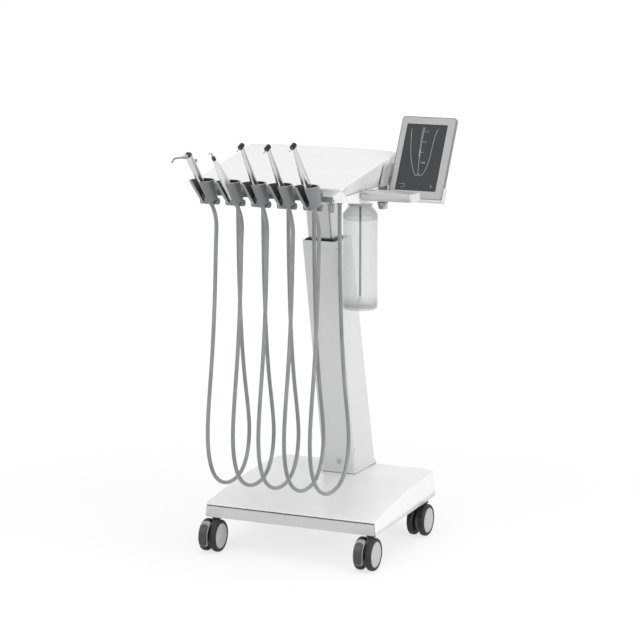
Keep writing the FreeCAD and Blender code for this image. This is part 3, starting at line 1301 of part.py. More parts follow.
def makeHandle():
    """Flat bar on a pin through the tray's lug; it folds down."""
    body = newBody("handleBar")
    half = size.handleHeight / 2
    x0, x1, z = handlePivotX, handleEnd, size.handleZ
    side = [(x0 - half, z - half, half * 0.98), (x1, z - half + size.handleTaper, size.handleRound),
            (x1, z + half - size.handleTaper, size.handleRound),
            (x0 - half, z + half, half * 0.98)]
    bar = pad(body, "bar", outline(body, "barSide", "XZ_Plane", side, -size.handleY), size.handleDepth,
              middle=True)
    roundEdges(body, "barEdges", bar, size.handleRound, isLongBarEdge)
    slotHalf = size.lugDepth / 2 + size.fitGap
    slot = block(x0 - half - 5, x0 + half + 2, size.handleY - slotHalf, size.handleY + slotHalf)
    pocket(body, "lugSlot", outline(body, "lugSlotPlan", "XY_Plane", slot, z))
    stud = disc(body, "handleStud", "XY_Plane", handleKnobX, size.handleY,
                size.studRadius + size.runGap, z - half - 1)
    pocket(body, "handleStudCut", stud, size.studLength + 3, back=True)
    pin = disc(body, "pin", "XZ_Plane", x0, z, size.pinDiameter / 2,
               -size.handleY - size.handleDepth / 2)
    pad(body, "pinPad", pin, size.handleDepth + 0.5)
    head = disc(body, "pinHeadDisc", "XZ_Plane", x0, z, size.pinHead / 2,
                -size.handleY + size.handleDepth / 2)
    pad(body, "pinHeadPad", head, 1.4)
    keep("side_handle", body)

    fluted("handle_knob", at(handleKnobX, size.handleY, z - half - size.fitGap),
           size.handleKnobRadius, size.handleKnobHeight, size.handleKnobRadius * 0.76, 10)


def isLongBarEdge(edge):
    """True for the edges around the bar's two flat faces, away from its round root."""
    if not isinstance(edge.Curve, Part.Line):
        return False
    a, b = edge.Vertexes[0].Point, edge.Vertexes[1].Point
    return abs(a.y - b.y) < 0.1 and abs(a.x - b.x) > 50


def fluted(label, place, radius, height, footRadius, flutes):
    """A knob that hangs below its seat: stud, neck and a fluted grip that narrows downwards."""
    body = newBody(label.replace("_", ""))
    top = -3
    turned(body, label + "Turn", outline(body, label + "Side", "XZ_Plane", [
        (0, size.studLength), (size.studRadius, size.studLength), (size.studRadius, 0),
        (radius * 0.6, 0), (radius * 0.6, top), (radius - 1, top),
        (radius, top - 1.5), (footRadius, top - height, 1), (0, top - height)]))
    groove = disc(body, label + "Flute", "XY_Plane", radius * 1.12, 0, radius * 0.2, top - height - 1)
    doc.recompute()
    cutAway = pocket(body, label + "FluteCut", groove, height + 2, back=True)
    pattern = body.newObject("PartDesign::PolarPattern", label + "Flutes")
    pattern.Originals = [cutAway]
    pattern.Axis = (originPlane(body, "Z_Axis"), [""])
    pattern.Angle = 360
    pattern.Occurrences = flutes
    body.Tip = pattern
    keep(label, body, place)


def makeRegulator():
    """Spray regulator knob below the tray's front, in a bonnet of the tray's underside."""
    seat = trayUnder(size.regulatorY + 6) - 0.3
    fluted("regulator_knob", at(size.regulatorX, size.regulatorY, seat), size.regulatorRadius,
           size.regulatorHeight, size.regulatorRadius * 0.8, 12)


# ---------------------------------------------------------------- tablet

def tabletPlace():
    return at(tabletX, size.tabletFootY, size.tabletFootZ, about("x", -float(size.tabletLeanAngle)))


def makeTablet():
    """Tablet, the tilting cradle that it stands in, and the bracket on the head's side."""
    place = tabletPlace()
    half, thick = size.tabletWidth / 2, size.tabletThickness
    tablet = newBody("tabletBody")
    face = block(-half, half, 0, size.tabletHeight, size.tabletRound)
    slab = pad(tablet, "slab", outline(tablet, "tabletFace", "XZ_Plane", face), thick, back=True)
    roundEdges(tablet, "slabEdges", slab, 1.5, lambda edge: abs(edge.CenterOfMass.y) < 0.01)
    keep("tablet", tablet, place)

    wall, gap = size.cradleWall, size.fitGap
    cradle = newBody("cradleBody")
    plateY = thick + gap
    plate = block(-size.cradleBackHalf, size.cradleBackHalf, -gap - wall, size.cradleBackHeight, 3)
    pad(cradle, "backPlate", outline(cradle, "backPlateFace", "XZ_Plane", plate, -plateY - wall), wall)
    shelf = block(-half - gap - wall, half + gap + wall, -size.shelfLip, plateY + wall)
    pad(cradle, "shelf", outline(cradle, "shelfPlan", "XY_Plane", shelf, -gap - wall), wall)
    for side in (-1, 1):
        name = "left" if side < 0 else "right"
        x0, x1 = side * (half + gap), side * (half + gap + wall)
        low, high = (x0, x1) if side > 0 else (x1, x0)
        hook = block(low, high, -size.shelfLip, plateY + wall)
        pad(cradle, name + "Hook", outline(cradle, name + "HookPlan", "XY_Plane", hook, -gap - wall),
            size.hookHeight + gap + wall)
    back, lift = size.hingeBehind, size.hingeAbove
    lug = block(plateY + wall - 0.5, back + size.hingeBoss / 2, lift - size.hingeBoss / 2,
                lift + size.hingeBoss / 2, 4)
    pad(cradle, "hingeLug", outline(cradle, "hingeLugSide", "YZ_Plane", lug, -size.cradleBackHalf),
        size.hingeLugWidth)
    pin = disc(cradle, "hingePin", "YZ_Plane", back, lift, size.hingePin / 2,
               -size.cradleBackHalf + 1)
    bossFace = headSide(hingeCentre().y) + size.bracketThickness
    pad(cradle, "hingePinPad", pin, tabletX - size.cradleBackHalf - bossFace + 1, back=True)
    keep("tablet_cradle", cradle, place)

    centre = hingeCentre()
    bracket = newBody("bracketBody")
    slope = tangentOf(size.tabletLeanAngle)
    back = centre.y - size.bracketAhead + size.bracketDepth
    x0 = headSide(back) + gap
    foot = centre.y - size.bracketAhead - (centre.z - size.bracketFoot) * slope
    top = centre.y - size.bracketAhead + (size.bracketTop - centre.z) * slope
    plate = [(foot, size.bracketFoot, 4), (back, size.bracketFoot, 4), (back, size.bracketTop, 4),
             (top, size.bracketTop, size.bracketRound)]
    pad(bracket, "bracketPlate", outline(bracket, "bracketSide", "YZ_Plane", plate, x0),
        size.bracketThickness)
    boss = disc(bracket, "bracketBoss", "YZ_Plane", centre.y, centre.z, size.hingeBoss / 2, x0)
    bossEnd = tabletX - size.cradleBackHalf - 1 - x0
    pad(bracket, "bracketBossPad", boss, bossEnd)
    hole = disc(bracket, "bracketHole", "YZ_Plane", centre.y, centre.z,
                size.hingePin / 2 + size.runGap, x0 - 1)
    pocket(bracket, "bracketHoleCut", hole, bossEnd + 2, back=True)
    keep("tablet_bracket", bracket)


def hingeCentre():
    """The cradle's pivot in the unit's frame."""
    return tabletPlace().multVec(Vector(0, float(size.hingeBehind), float(size.hingeAbove)))


# ---------------------------------------------------------------- the whole unit

def makeUnit():
    makeBase()
    makeCasters()
    makeColumn()
    makeTray()
    makeCover()
    makeValveBlock()
    makeRail()
    makeHolderValves()
    places = holderPlaces()
    for index, x in enumerate(places, start=1):
        makeHolder(index, x)
    makeSyringe(places[0])
    makeScaler(places[1])
    for index, x in enumerate(places[2:], start=1):
        makeTurbine(index, x, x is places[-1])
    turbines = [size.turbineLeanAngle] * (holderCount - 2)
    makeHoses([size.syringeLeanAngle, size.scalerLeanAngle] + turbines)
    makeGlands()
    makeBottle()
    makeHandle()
    makeRegulator()
    makeTablet()


def checkAndExport():
    """Stops at a failed feature or an unsound shape, then writes one file for each sub-part."""
    doc.recompute()
    failed = [item.Label for item in doc.Objects if "Invalid" in item.State or "Error" in item.State]
    if failed:
        raise RuntimeError(f"failed features: {failed}")
    for label, item in kept.items():
        shape = item.Shape
        if shape.isNull() or not shape.isValid() or not shape.Solids:
            raise RuntimeError(f"{label} has no sound shape")
    for label, item in kept.items():
        item.Shape.exportStep(f"parts/{label}.step")
    print(f"{len(kept)} sub-parts written")


makeUnit()
checkAndExport()
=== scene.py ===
import json
import math

import bmesh
import bpy
import numpy as np
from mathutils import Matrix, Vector


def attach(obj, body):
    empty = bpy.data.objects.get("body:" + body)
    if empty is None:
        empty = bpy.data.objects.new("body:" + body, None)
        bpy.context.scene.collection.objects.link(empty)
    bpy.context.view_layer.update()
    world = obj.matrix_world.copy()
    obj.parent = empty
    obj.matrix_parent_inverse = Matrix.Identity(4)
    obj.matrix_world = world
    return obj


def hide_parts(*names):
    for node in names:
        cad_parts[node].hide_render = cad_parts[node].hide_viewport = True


# Portable dental unit: leaning lift column on casters, delivery head with five instruments, hoses,
# water bottle, side handle and tablet. Metres; -Y is the dentist's side, +X the tablet's side.

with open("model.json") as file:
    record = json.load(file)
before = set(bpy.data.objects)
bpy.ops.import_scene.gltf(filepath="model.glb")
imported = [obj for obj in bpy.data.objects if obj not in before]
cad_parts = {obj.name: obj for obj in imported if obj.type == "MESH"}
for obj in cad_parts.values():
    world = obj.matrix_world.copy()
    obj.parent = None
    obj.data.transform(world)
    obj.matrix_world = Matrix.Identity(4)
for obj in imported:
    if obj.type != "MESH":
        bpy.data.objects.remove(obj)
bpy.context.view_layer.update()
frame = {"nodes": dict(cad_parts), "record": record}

# Where the eye stands, its lens and how far it sees
camera = {"place": (2.3666, -5.3405, 1.6534), "tilt": 90 - 10.934, "turn": 23.933, "lens": 145.42,
          "sensor": 36, "reach": 120}


# Puts a mesh, a curve, a lamp or the camera into the scene.
def placed(name, data):
    item = bpy.data.objects.new(name, data)
    bpy.context.scene.collection.objects.link(item)
    return item


def setCamera():
    eye = bpy.data.cameras.new("eye")
    eye.lens, eye.sensor_width, eye.clip_end = camera["lens"], camera["sensor"], camera["reach"]
    holder = placed("eye", eye)
    holder.location = camera["place"]
    holder.rotation_euler = (math.radians(camera["tilt"]), 0, math.radians(camera["turn"]))
    bpy.context.scene.camera = holder
    bpy.context.scene.view_settings.view_transform = "Standard"
    print("camera set")


# A method that adds a Math node for a wire and what stands beside it
def joining(operation, swapped=False):
    def method(self, other):
        a, b = (other, self) if swapped else (self, other)
        return self.paint.node("Math", {"operation": operation}, {0: a, 1: b})
    return method


# One socket of a material. Sums, products and comparisons of wires add their own Math nodes.
class Wire:
    def __init__(self, paint, socket):
        self.paint = paint
        self.socket = socket

    __add__ = __radd__ = joining("ADD")
    __sub__, __rsub__ = joining("SUBTRACT"), joining("SUBTRACT", True)
    __mul__ = __rmul__ = joining("MULTIPLY")
    __truediv__, __rtruediv__ = joining("DIVIDE"), joining("DIVIDE", True)
    __gt__, __lt__ = joining("GREATER_THAN"), joining("LESS_THAN")

    def __abs__(self):
        return self.paint.node("Math", {"operation": "ABSOLUTE"}, {0: self})

    def clamped(self):
        return self.paint.node("Math", {"operation": "ADD", "use_clamp": True}, {0: self, 1: 0.0})


paints = {}


class Paint:
    def __init__(self, name, kind="materials", shader="Principled BSDF"):
        self.name = name
        self.block = getattr(bpy.data, kind).new(name)
        self.block.use_nodes = True
        self.tree = self.block.node_tree
        self.shader = self.tree.nodes[shader]

    def node(self, kind, settings=None, values=None, out=0):
        item = self.tree.nodes.new("ShaderNode" + kind)
        for key, value in (settings or {}).items():
            setattr(item, key, value)
        for key, value in (values or {}).items():
            self.feed(item.inputs[key], value)
        return Wire(self, item.outputs[out])

    def feed(self, socket, value):
        if isinstance(value, Wire):
            self.tree.links.new(value.socket, socket)
        else:
            socket.default_value = value

    def place(self, stretch=(1, 1, 1)):
        return self.node("Mapping", None, {"Vector": self.node("TexCoord", out=3), "Scale": stretch})

    # The piece's own x, y or z
    def axis(self, index):
        return self.node("SeparateXYZ", None, {0: self.place()}, index)

    def noise(self, scale, detail=3, rough=0.5, stretch=(1, 1, 1)):
        return self.node("TexNoise", None, {"Vector": self.place(stretch), "Scale": scale, "Detail": detail,
                                            "Roughness": rough})

    # Colour a where share is 0, colour b where it is 1
    def blend(self, share, a, b):
        return self.node("Mix", {"data_type": "RGBA"}, {"Factor": share, 6: a, 7: b}, 2)

    # The same for clouds: colour a up to the value low, then towards b, the faster the greater the contrast
    def clouded(self, cloud, low, contrast, a, b):
        return self.blend(((cloud - low) * contrast).clamped(), a, b)

    def bump(self, height, strength, distance, below=None):
        values = {"Height": height, "Strength": strength, "Distance": distance}
        if below is not None:
            values["Normal"] = below
        return self.node("Bump", None, values)

    def grain(self, scale, strength, distance, below=None):
        return self.bump(self.noise(scale, 2), strength, distance, below)

    def finish(self, **values):
        for key, value in values.items():
            self.feed(self.shader.inputs[key.replace("_", " ")], value)
        paints[self.name] = self.block


def grey(value, warm=0.0):
    return (value * (1 + warm), value, value * (1 - warm), 1)


def scaled(colour, factor):
    return tuple(min(1, c * factor) for c in colour[:3]) + (1,)


# Moulded or sprayed surfaces: tone, roughness, grain, then coat, dirt, warmth and shine where they differ
moulded = {
    "casing": (0.77, 0.24, 0.05, 0.35, 0.035),
    # Lighter copy of the casing for the base cover: painted light on the top that the head shades
    "casingBase": (0.87, 0.24, 0.05, 0.2, 0.03),
    # Lighter copy of the casing for the tray: painted light on its shaded front
    "casingSide": (0.86, 0.30, 0.06, 0.2, 0.03),
    "chassis": (0.66, 0.36, 0.1, 0, 0.06),
    "column": (0.73, 0.34, 0.12, 0.15, 0.06),
    "mast": (0.08, 0.5, 0.2),
    "black": (0.018, 0.42, 0.25),
    "headBlack": (0.008, 0.34, 0.1, 0, 0.12, 0, 0.25),
    "holder": (0.185, 0.30, 0.1, 0.35, 0.1, -0.03),
    # Darker copy of the holder for the cups' insides: painted shade
    "holderInside": (0.075, 0.5, 0.1),
    # Lighter copy of the holder for the slot's edges and the rim: painted highlight
    "holderLip": (0.42, 0.30, 0.08, 0.2, 0.08, -0.02),
    "rail": (0.27, 0.38, 0.1, 0, 0.12, -0.02),
    "fork": (0.10, 0.36, 0.12, 0, 0.2),
    "hood": (0.34, 0.34, 0.1, 0, 0.15),
    "pedal": (0.055, 0.38, 0.25, 0, 0.25),
    "hub": (0.52, 0.30, 0.08, 0, 0.14),
    "capGrey": (0.42, 0.36, 0.08),
    "cap": (0.72, 0.3, 0.08),
    "cradle": (0.66, 0.32, 0.08, 0, 0.06),
    "bezel": (0.42, 0.32, 0.1, 0, 0.06),
    "tabletEdge": (0.20, 0.36, 0.1),
    "handpieceWhite": (0.74, 0.26, 0.04, 0.3, 0.06),
    "button": (0.17, 0.4, 0.1)}
# Metals: tone, roughness, share of the brushed lines, and their stretch along z
metals = {"innerColumn": (0.60, 0.34, 0.25, 0.02), "chrome": (0.82, 0.12, 0.1),
          "handpiece": (0.72, 0.30, 0.2, 0.1), "fitting": (0.52, 0.32), "darkSteel": (0.20, 0.30)}
# Two tones in clouds: the noise, where and how fast one turns into the other, the tones, the roughness at a
# cloud's middle and its change, the relief (size, strength, depth) or None, and what else the shader gets
clouds = {
    "tyre": ((24, 5, 0.62), (0.4, 2.5), ((0.0112,) * 3, (0.0182,) * 3), (0.62, 0.2), (900, 0.2, 0.0003), {}),
    "hoseSilicone": ((16, 4, 0.6), (0.35, 2.4), ((0.178, 0.189, 0.186), (0.252, 0.264, 0.260)),
                     (0.34, 0.16), (420, 0.08, 0.0003),
                     {"Specular_IOR_Level": 0.6, "Coat_Weight": 0.6, "Coat_Roughness": 0.3}),
    "screenGlass": ((14, 5, 0.65), (0, 1), ((0.030, 0.031, 0.032), (0.044, 0.045, 0.046)), (0.36, 0.12),
                    None, {"Emission_Color": (0.2, 0.205, 0.21, 1), "Emission_Strength": 0.07,
                           "Specular_IOR_Level": 0.12})}
# Lit lines of the display
glows = {"glowLine": [(0.40, 0.41, 0.43)], "glowScale": [(0.125, 0.128, 0.132)],
         "glowArrow": [(0.19, 0.21, 0.20)]}


# Faint clouding of colour and gloss, orange peel or grain in relief, and darker patches where dust gathers.
def mouldedPaint(name, tone, gloss, grain, coat=0.0, dirt=0.12, warm=0.0, shine=0.5):
    paint = Paint(name)
    base = grey(tone, warm)
    cloud, fine = paint.noise(9, 4), paint.noise(150, 3, 0.6)
    dusty, clean = scaled(base, 1 - dirt), scaled(base, 1 + 0.3 * dirt)
    wave = paint.grain(60, 0.03, 0.0006, paint.grain(1400, grain, 0.0004))
    rough = gloss + (cloud - 0.5) * 0.16 + (fine - 0.5) * 0.06
    paint.finish(Base_Color=paint.clouded(cloud * 0.6 + fine * 0.4, 0.35, 2.2, dusty, clean), Normal=wave,
                 Roughness=rough.clamped(), Coat_Weight=coat, Coat_Roughness=0.12,
                 Specular_IOR_Level=shine)


# Metal with fine lines along one way, faint stains and uneven polish.
def metalPaint(name, tone, gloss, lines=0.25, stretch=1):
    paint = Paint(name)
    brushed, stain = paint.noise(700, 3, 0.6, (1, 1, stretch)), paint.noise(30, 4, 0.6)
    share = (brushed * lines + stain * (1 - lines)).clamped()
    colour = paint.blend(share, grey(tone * 0.8), grey(min(1, tone * 1.12)))
    rough = gloss + (stain - 0.5) * 0.12 + (brushed - 0.5) * 0.08
    paint.finish(Base_Color=colour, Metallic=1.0, Roughness=rough.clamped(),
                 Normal=paint.bump(brushed, 0.12, 0.0002))


# Rubber with a dusty bloom and fine pits, silicone with a soft sheen, and the smudged dark display.
def cloudPaint(name, noise, turn, tones, rough, relief, more):
    paint = Paint(name)
    cloud = paint.noise(*noise)
    if relief:
        more = {**more, "Normal": paint.grain(*relief)}
    paint.finish(Base_Color=paint.clouded(cloud, *turn, *(scaled(tone, 1) for tone in tones)),
                 Roughness=(rough[0] + (cloud - 0.5) * rough[1]).clamped(), **more)


# Frosted, half clear plastic: shoulder and foot are clearer, the body is milky, rims look denser.
def bottlePaint():
    paint = Paint("bottleFrosted")
    high = paint.axis(2)
    body = ((bottle["milkyTop"] - high) * 260).clamped() * ((high - bottle["milkyFoot"]) * 60).clamped()
    rim = paint.node("LayerWeight", None, {"Blend": 0.42}, 1)
    swirl = paint.noise(40, 4, 0.6)
    fillLine = (abs(high - bottle["milkyTop"]) < bottle["fillLine"] / 2) * 0.12
    see = 0.23 - body * 0.02 + fillLine + rim * 0.24 + (swirl - 0.5) * 0.04
    paint.finish(Base_Color=paint.blend(body, (0.40, 0.41, 0.41, 1), (0.76, 0.77, 0.77, 1)),
                 Alpha=see.clamped(), Roughness=0.34 + (swirl - 0.5) * 0.12,
                 Normal=paint.grain(300, 0.06, 0.0003))


# Suction tube of the bottle: dark, with a white filter at its foot.
def pickupPaint():
    paint = Paint("pickupTube")
    cloud = paint.noise(60, 4)
    pale, dark = paint.blend(cloud, grey(0.74), grey(0.84)), paint.blend(cloud, grey(0.035), grey(0.055))
    colour = paint.blend(paint.axis(2) > bottle["filterTop"], pale, dark)
    paint.finish(Base_Color=colour, Roughness=0.4 + cloud * 0.12)


# A lit line on the display, slightly uneven as pixels are.
def glowPaint(name, shade):
    paint = Paint(name)
    cell = paint.noise(1500, 1)
    colour = paint.blend(cell, scaled(shade, 0.8), scaled(shade, 1))
    paint.finish(Base_Color=colour, Emission_Color=colour, Emission_Strength=0.35, Roughness=0.3 + cell * 0.1)


# Tablet's bracket: painted dark below the seam's height, a painted shadow of the seam; above it the front
# leaf is light, the rest mid grey.
def bracketPaint():
    paint = Paint("bracketMoulded")
    deep, high = paint.axis(1), paint.axis(2)
    cloud = paint.noise(20, 4)
    leaf = (deep - high * bracketLeaf["slope"]) < bracketLeaf["edge"]
    tone = paint.blend(leaf, paint.blend(cloud, grey(0.40), grey(0.46)), grey(0.78))
    # below the foot height: painted shadow of the seam
    colour = paint.clouded(high, bracketLeaf["foot"], 900, grey(0.11), tone)
    paint.finish(Base_Color=colour, Roughness=0.3 + cloud * 0.1, Normal=paint.grain(1400, 0.08, 0.0004))


# Grip knobs: the light and shade of the upright ribs are painted as lighter and darker streaks.
def knobPaint():
    paint = Paint("knobRibbed")
    streak = paint.noise(230, 2, 0.5, (1, 1, 0.03))
    paint.finish(Base_Color=paint.clouded(streak, 0.42, 6, grey(0.20), grey(0.55)),
                 Roughness=0.36 + (streak - 0.5) * 0.2, Normal=paint.bump(streak, 0.4, 0.0008))


# Side handle: a mid grey grip that ends in a lighter cap behind a thin dark seam.
def handlePaint():
    paint = Paint("handleMoulded")
    across, cloud = paint.axis(0), paint.noise(20, 4)
    seam = (abs(across - handle["capFrom"]) < handle["seam"] / 2) * 0.6
    plain, light = paint.blend(cloud, grey(0.43), grey(0.50)), paint.blend(cloud, grey(0.60), grey(0.67))
    colour = paint.blend(seam, paint.blend(across > handle["capFrom"], plain, light), grey(0.12))
    paint.finish(Base_Color=colour, Roughness=0.27 + cloud * 0.12, Normal=paint.grain(1400, 0.08, 0.0004),
                 Coat_Weight=0.2, Coat_Roughness=0.12)


def makePaints():
    for mix, table in ((mouldedPaint, moulded), (metalPaint, metals), (cloudPaint, clouds),
                       (glowPaint, glows)):
        for name, facts in table.items():
            mix(name, *facts)
    for mix in (bottlePaint, pickupPaint, bracketPaint, knobPaint, handlePaint):
        mix()
    print("paints mixed")


# Puts arrays of points and faces into an object; the rest is as for dress.
def addMesh(name, points, faces, *finish, **more):
    mesh = bpy.data.meshes.new(name)
    mesh.from_pydata(np.asarray(points, float).reshape(-1, 3).tolist(), [],
                     [list(map(int, face)) for face in faces])
    return dress(name, mesh, *finish, **more)


# Merges doubled points, turns faces outwards, and gives a mesh its paint and body. paint is one name,
# or several with shades numbering each face's.
def dress(name, mesh, paint, body, slot, replaced=(), smooth=35, weld=1e-6, shades=None):
    mesh.materials.clear()
    for one in [paint] if isinstance(paint, str) else paint:
        mesh.materials.append(paints[one])
    if shades is not None:
        mesh.polygons.foreach_set("material_index", np.asarray(shades, np.int32))
    if weld:
        work = bmesh.new()
        work.from_mesh(mesh)
        bmesh.ops.remove_doubles(work, verts=work.verts, dist=weld)
        bmesh.ops.dissolve_degenerate(work, dist=1e-7, edges=work.edges)
        bmesh.ops.recalc_face_normals(work, faces=work.faces)
        work.to_mesh(mesh)
        work.free()
    smoothFaces(mesh, smooth)
    item = placed(name, mesh)
    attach(item, body)
    if replaced:
        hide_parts(*replaced)
    return item


def smoothFaces(mesh, angle):
    mesh.polygons.foreach_set("use_smooth", np.ones(len(mesh.polygons), bool))
    mesh.set_sharp_from_angle(angle=math.radians(angle))


# Rounds the edges of a piece that are sharper than some degrees.
def bevelled(item, width, segments=2, angle=30):
    bevel = item.modifiers.new("roundedEdges", "BEVEL")
    bevel.width, bevel.segments, bevel.limit_method = width, segments, "ANGLE"
    bevel.angle_limit, bevel.harden_normals = math.radians(angle), True


# A copy of a frame node's own mesh with rounded edges; its flat faces are joined again first.
def softened(node, paint, body, slot, width, segments=2):
    mesh = frame["nodes"][node].data.copy()
    mesh.name = node + "Soft"
    work = bmesh.new()
    work.from_mesh(mesh)
    bmesh.ops.remove_doubles(work, verts=work.verts, dist=2e-6)
    bmesh.ops.dissolve_limit(work, angle_limit=math.radians(1.2), verts=work.verts, edges=work.edges)
    work.to_mesh(mesh)
    work.free()
    bevelled(dress(node + "Soft", mesh, paint, body, slot, [node], 30, 0), width, segments)


# Quads of a grid of points stored row by row. With around, the last column joins the first.
def gridFaces(rows, columns, around=False):
    i = np.arange(rows - 1)[:, None]
    j = np.arange(columns if around else columns - 1)[None, :]
    a, b = i * columns + j, i * columns + (j + 1) % columns
    return np.stack([a, b, b + columns, a + columns], -1).reshape(-1, 4).tolist()


# Several (points, faces) pairs as one.
def joined(*parts):
    points, faces, count = [], [], 0
    for some, quads in parts:
        some = np.asarray(some, float).reshape(-1, 3)
        points.append(some)
        faces += [[v + count for v in face] for face in quads]
        count += len(some)
    return np.concatenate(points), faces


# A turned form. Each row is (radius, height): the point at angle t is (r cos t, r sin t, height).
def lathe(profile, segments):
    radius, height = np.asarray(profile, float).T[:, :, None]
    t = np.linspace(0, 2 * np.pi, segments, endpoint=False)
    points = np.stack([radius * np.cos(t), radius * np.sin(t), height + 0 * t], -1)
    return points.reshape(-1, 3), gridFaces(len(profile), segments, True)


# A turned form from corners (radius, height, corner radius), and the shade number of each of its faces:
# bands lists (height, shade) from below upwards.
def banded(corners, segments, bands, steps=4):
    line = roundedLine(corners, steps)
    middle = (line[:-1, 1] + line[1:, 1]) / 2
    shades = np.zeros(len(middle), int)
    for height, shade in bands:
        shades[middle > height] = shade
    return *lathe(line, segments), np.repeat(shades, segments)


def turned(corners, segments, steps=4):
    return lathe(roundedLine(corners, steps), segments)


# Eight corners and six faces of a box whose two levels are shifted along y by the two numbers of shift.
def boxMesh(x, y, z, shift=(0, 0)):
    points = [(x[i], y[j] + shift[k], z[k]) for i in (0, 1) for j in (0, 1) for k in (0, 1)]
    return points, [(0, 1, 3, 2), (4, 6, 7, 5), (0, 4, 5, 1), (2, 3, 7, 6), (0, 2, 6, 4), (1, 5, 7, 3)]


# A round rod along a path, closed at both ends. The point at angle t is path + side r cos t + up r sin t:
# side is square to the path and to across, up is square to the path and to side.
def rodAlong(path, radius, count, across):
    way = np.gradient(path, axis=0)
    way /= np.linalg.norm(way, axis=1)[:, None]
    side = np.cross(way, across)
    side /= np.linalg.norm(side, axis=1)[:, None]
    up = np.cross(side, way)
    t = np.linspace(0, 2 * np.pi, count, endpoint=False)[:, None]
    return stacked(path[:, None] + side[:, None] * (radius * np.cos(t)) + up[:, None] * (radius * np.sin(t)))


# A line whose corners are rounded. A corner is (x, y) or (x, y, radius). A closed line goes on from its last
# corner to its first, which doesn't stand again at the end.
def roundedLine(corners, steps=5, closed=False):
    spots = [np.array(corner[:2], float) for corner in corners]
    line = []
    for i, corner in enumerate(corners):
        if (closed or 0 < i < len(corners) - 1) and len(corner) > 2 and corner[2] > 0:
            line += list(arcAt(spots[i - 1], spots[i], spots[(i + 1) % len(corners)], corner[2], steps))
        else:
            line.append(spots[i])
    return np.array(line)


# Points of the arc that rounds one corner: both tangent points and those between.
def arcAt(before, here, after, radius, steps):
    a = (before - here) / np.linalg.norm(before - here)
    b = (after - here) / np.linalg.norm(after - here)
    half = math.acos(np.clip(a @ b, -1, 1)) / 2
    reach = radius / math.tan(half)
    centre = here + (a + b) / np.linalg.norm(a + b) * radius / math.sin(half)
    start, stop = here + a * reach - centre, here + b * reach - centre
    turn = math.atan2(start[0] * stop[1] - start[1] * stop[0], start @ stop)
    t = np.linspace(0, turn, steps + 1)[:, None]
    return centre + start * np.cos(t) + np.array([-start[1], start[0]]) * np.sin(t)


def roundedBox(x0, x1, y0, y1, radius, steps):
    return roundedLine([(x, y, radius) for x, y in ((x0, y0), (x1, y0), (x1, y1), (x0, y1))], steps, True)


# A line with points between its own wherever two lie further apart than the spacing, and its last one.
def refined(line, spacing):
    fine = [line[0]]
    for before, after in zip(line[:-1], line[1:]):
        count = max(1, int(np.linalg.norm(after - before) / spacing))
        fine += [before + (after - before) * (k + 1) / count for k in range(count)]
    return np.array(fine)


def atHeight(line, z):
    return np.column_stack([line, np.full(len(line), z)])


# Rings of equal length joined one to the next; both ends can be closed with one face.
def stacked(rings, closed=True):
    rings = np.asarray(rings, float)
    count, size = rings.shape[:2]
    faces = gridFaces(count, size, True)
    if closed:
        faces += [list(range(size))[::-1], list(range((count - 1) * size, count * size))]
    return rings.reshape(-1, 3), faces


def sineCosine(degrees):
    return math.sin(math.radians(degrees)), math.cos(math.radians(degrees))


# Turns points about X by some degrees, then moves them.
def leaned(points, degrees, place):
    s, c = sineCosine(degrees)
    x, y, z = np.asarray(points, float).reshape(-1, 3).T
    return np.stack([x, c * y - s * z, s * y + c * z], -1) + np.array(place, float)


# Hoses: down from the gland, round the free loop and up into the handpiece
hose = {"diameter": 0.009, "length": 1.426, "pitch": 0.062, "count": 5, "lastRun": 0.040,
        "tail": (-0.3147, 0.8298), "leans": (42.5, 44, 36, 36, 36),
        "route": [(-0.181, 0.823), (-0.181, 0.762), (-0.179, 0.680), (-0.174, 0.590), (-0.166, 0.500),
                  (-0.153, 0.415), (-0.135, 0.340), (-0.126, 0.282), (-0.138, 0.227), (-0.168, 0.193),
                  (-0.216, 0.181), (-0.268, 0.188), (-0.314, 0.216), (-0.339, 0.265), (-0.344, 0.324),
                  (-0.334, 0.397), (-0.319, 0.477), (-0.307, 0.562), (-0.299, 0.652), (-0.294, 0.742)]}
holderPlaces = [(i - (hose["count"] - 1) / 2) * hose["pitch"] for i in range(hose["count"])]


def makeHoses():
    (tailY, tailZ), run = hose["tail"], hose["lastRun"]
    for index, (x, lean) in enumerate(zip(holderPlaces, hose["leans"]), start=1):
        s, c = sineCosine(lean)
        line = hose["route"] + [(tailY + s * run, tailZ - c * run), (tailY, tailZ)]
        curve = bpy.data.curves.new(f"hoseLine{index}", "CURVE")
        curve.dimensions, curve.use_fill_caps = "3D", True
        curve.bevel_depth, curve.bevel_resolution, curve.resolution_u = hose["diameter"] / 2, 6, 10
        spline = curve.splines.new("NURBS")
        spline.points.add(len(line) - 1)
        for point, (y, z) in zip(spline.points, line):
            point.co = (x, y, z, 1)
        spline.order_u, spline.use_endpoint_u = 3, True
        curve.materials.append(paints["hoseSilicone"])
        item = placed(f"hoseLine{index}", curve)
        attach(item, "head")
        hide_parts(f"hose_{index}")
        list(line[0])
    print("hoses hung")


# Base cover: crowned top with crisp edges over drafted sides. roundOff is how much of the back corners'
# radius the draft takes, ahead is how far back the edge over the front panel reaches, and across, rings
# and spacing say how fine the mesh is
base = {"front": -0.182, "back": 0.228, "frontHalf": 0.213, "backHalf": 0.206, "straight": 0.150,
        "frontRound": 0.003, "backRound": 0.033, "roundOff": 0.004, "draft": 5, "frontDraft": 0.48,
        "waist": 0.4, "edge": 0.0016, "skirt": 0.082, "seam": 0.108, "ahead": 0.012, "fasciaHalf": 0.2094,
        "crest": (0.015, 0.144), "frontSlope": 0.1675, "backSlope": 0.0258, "crown": 1.834, "wall": 0.0025,
        "across": 61, "rings": 3, "spacing": 0.012}


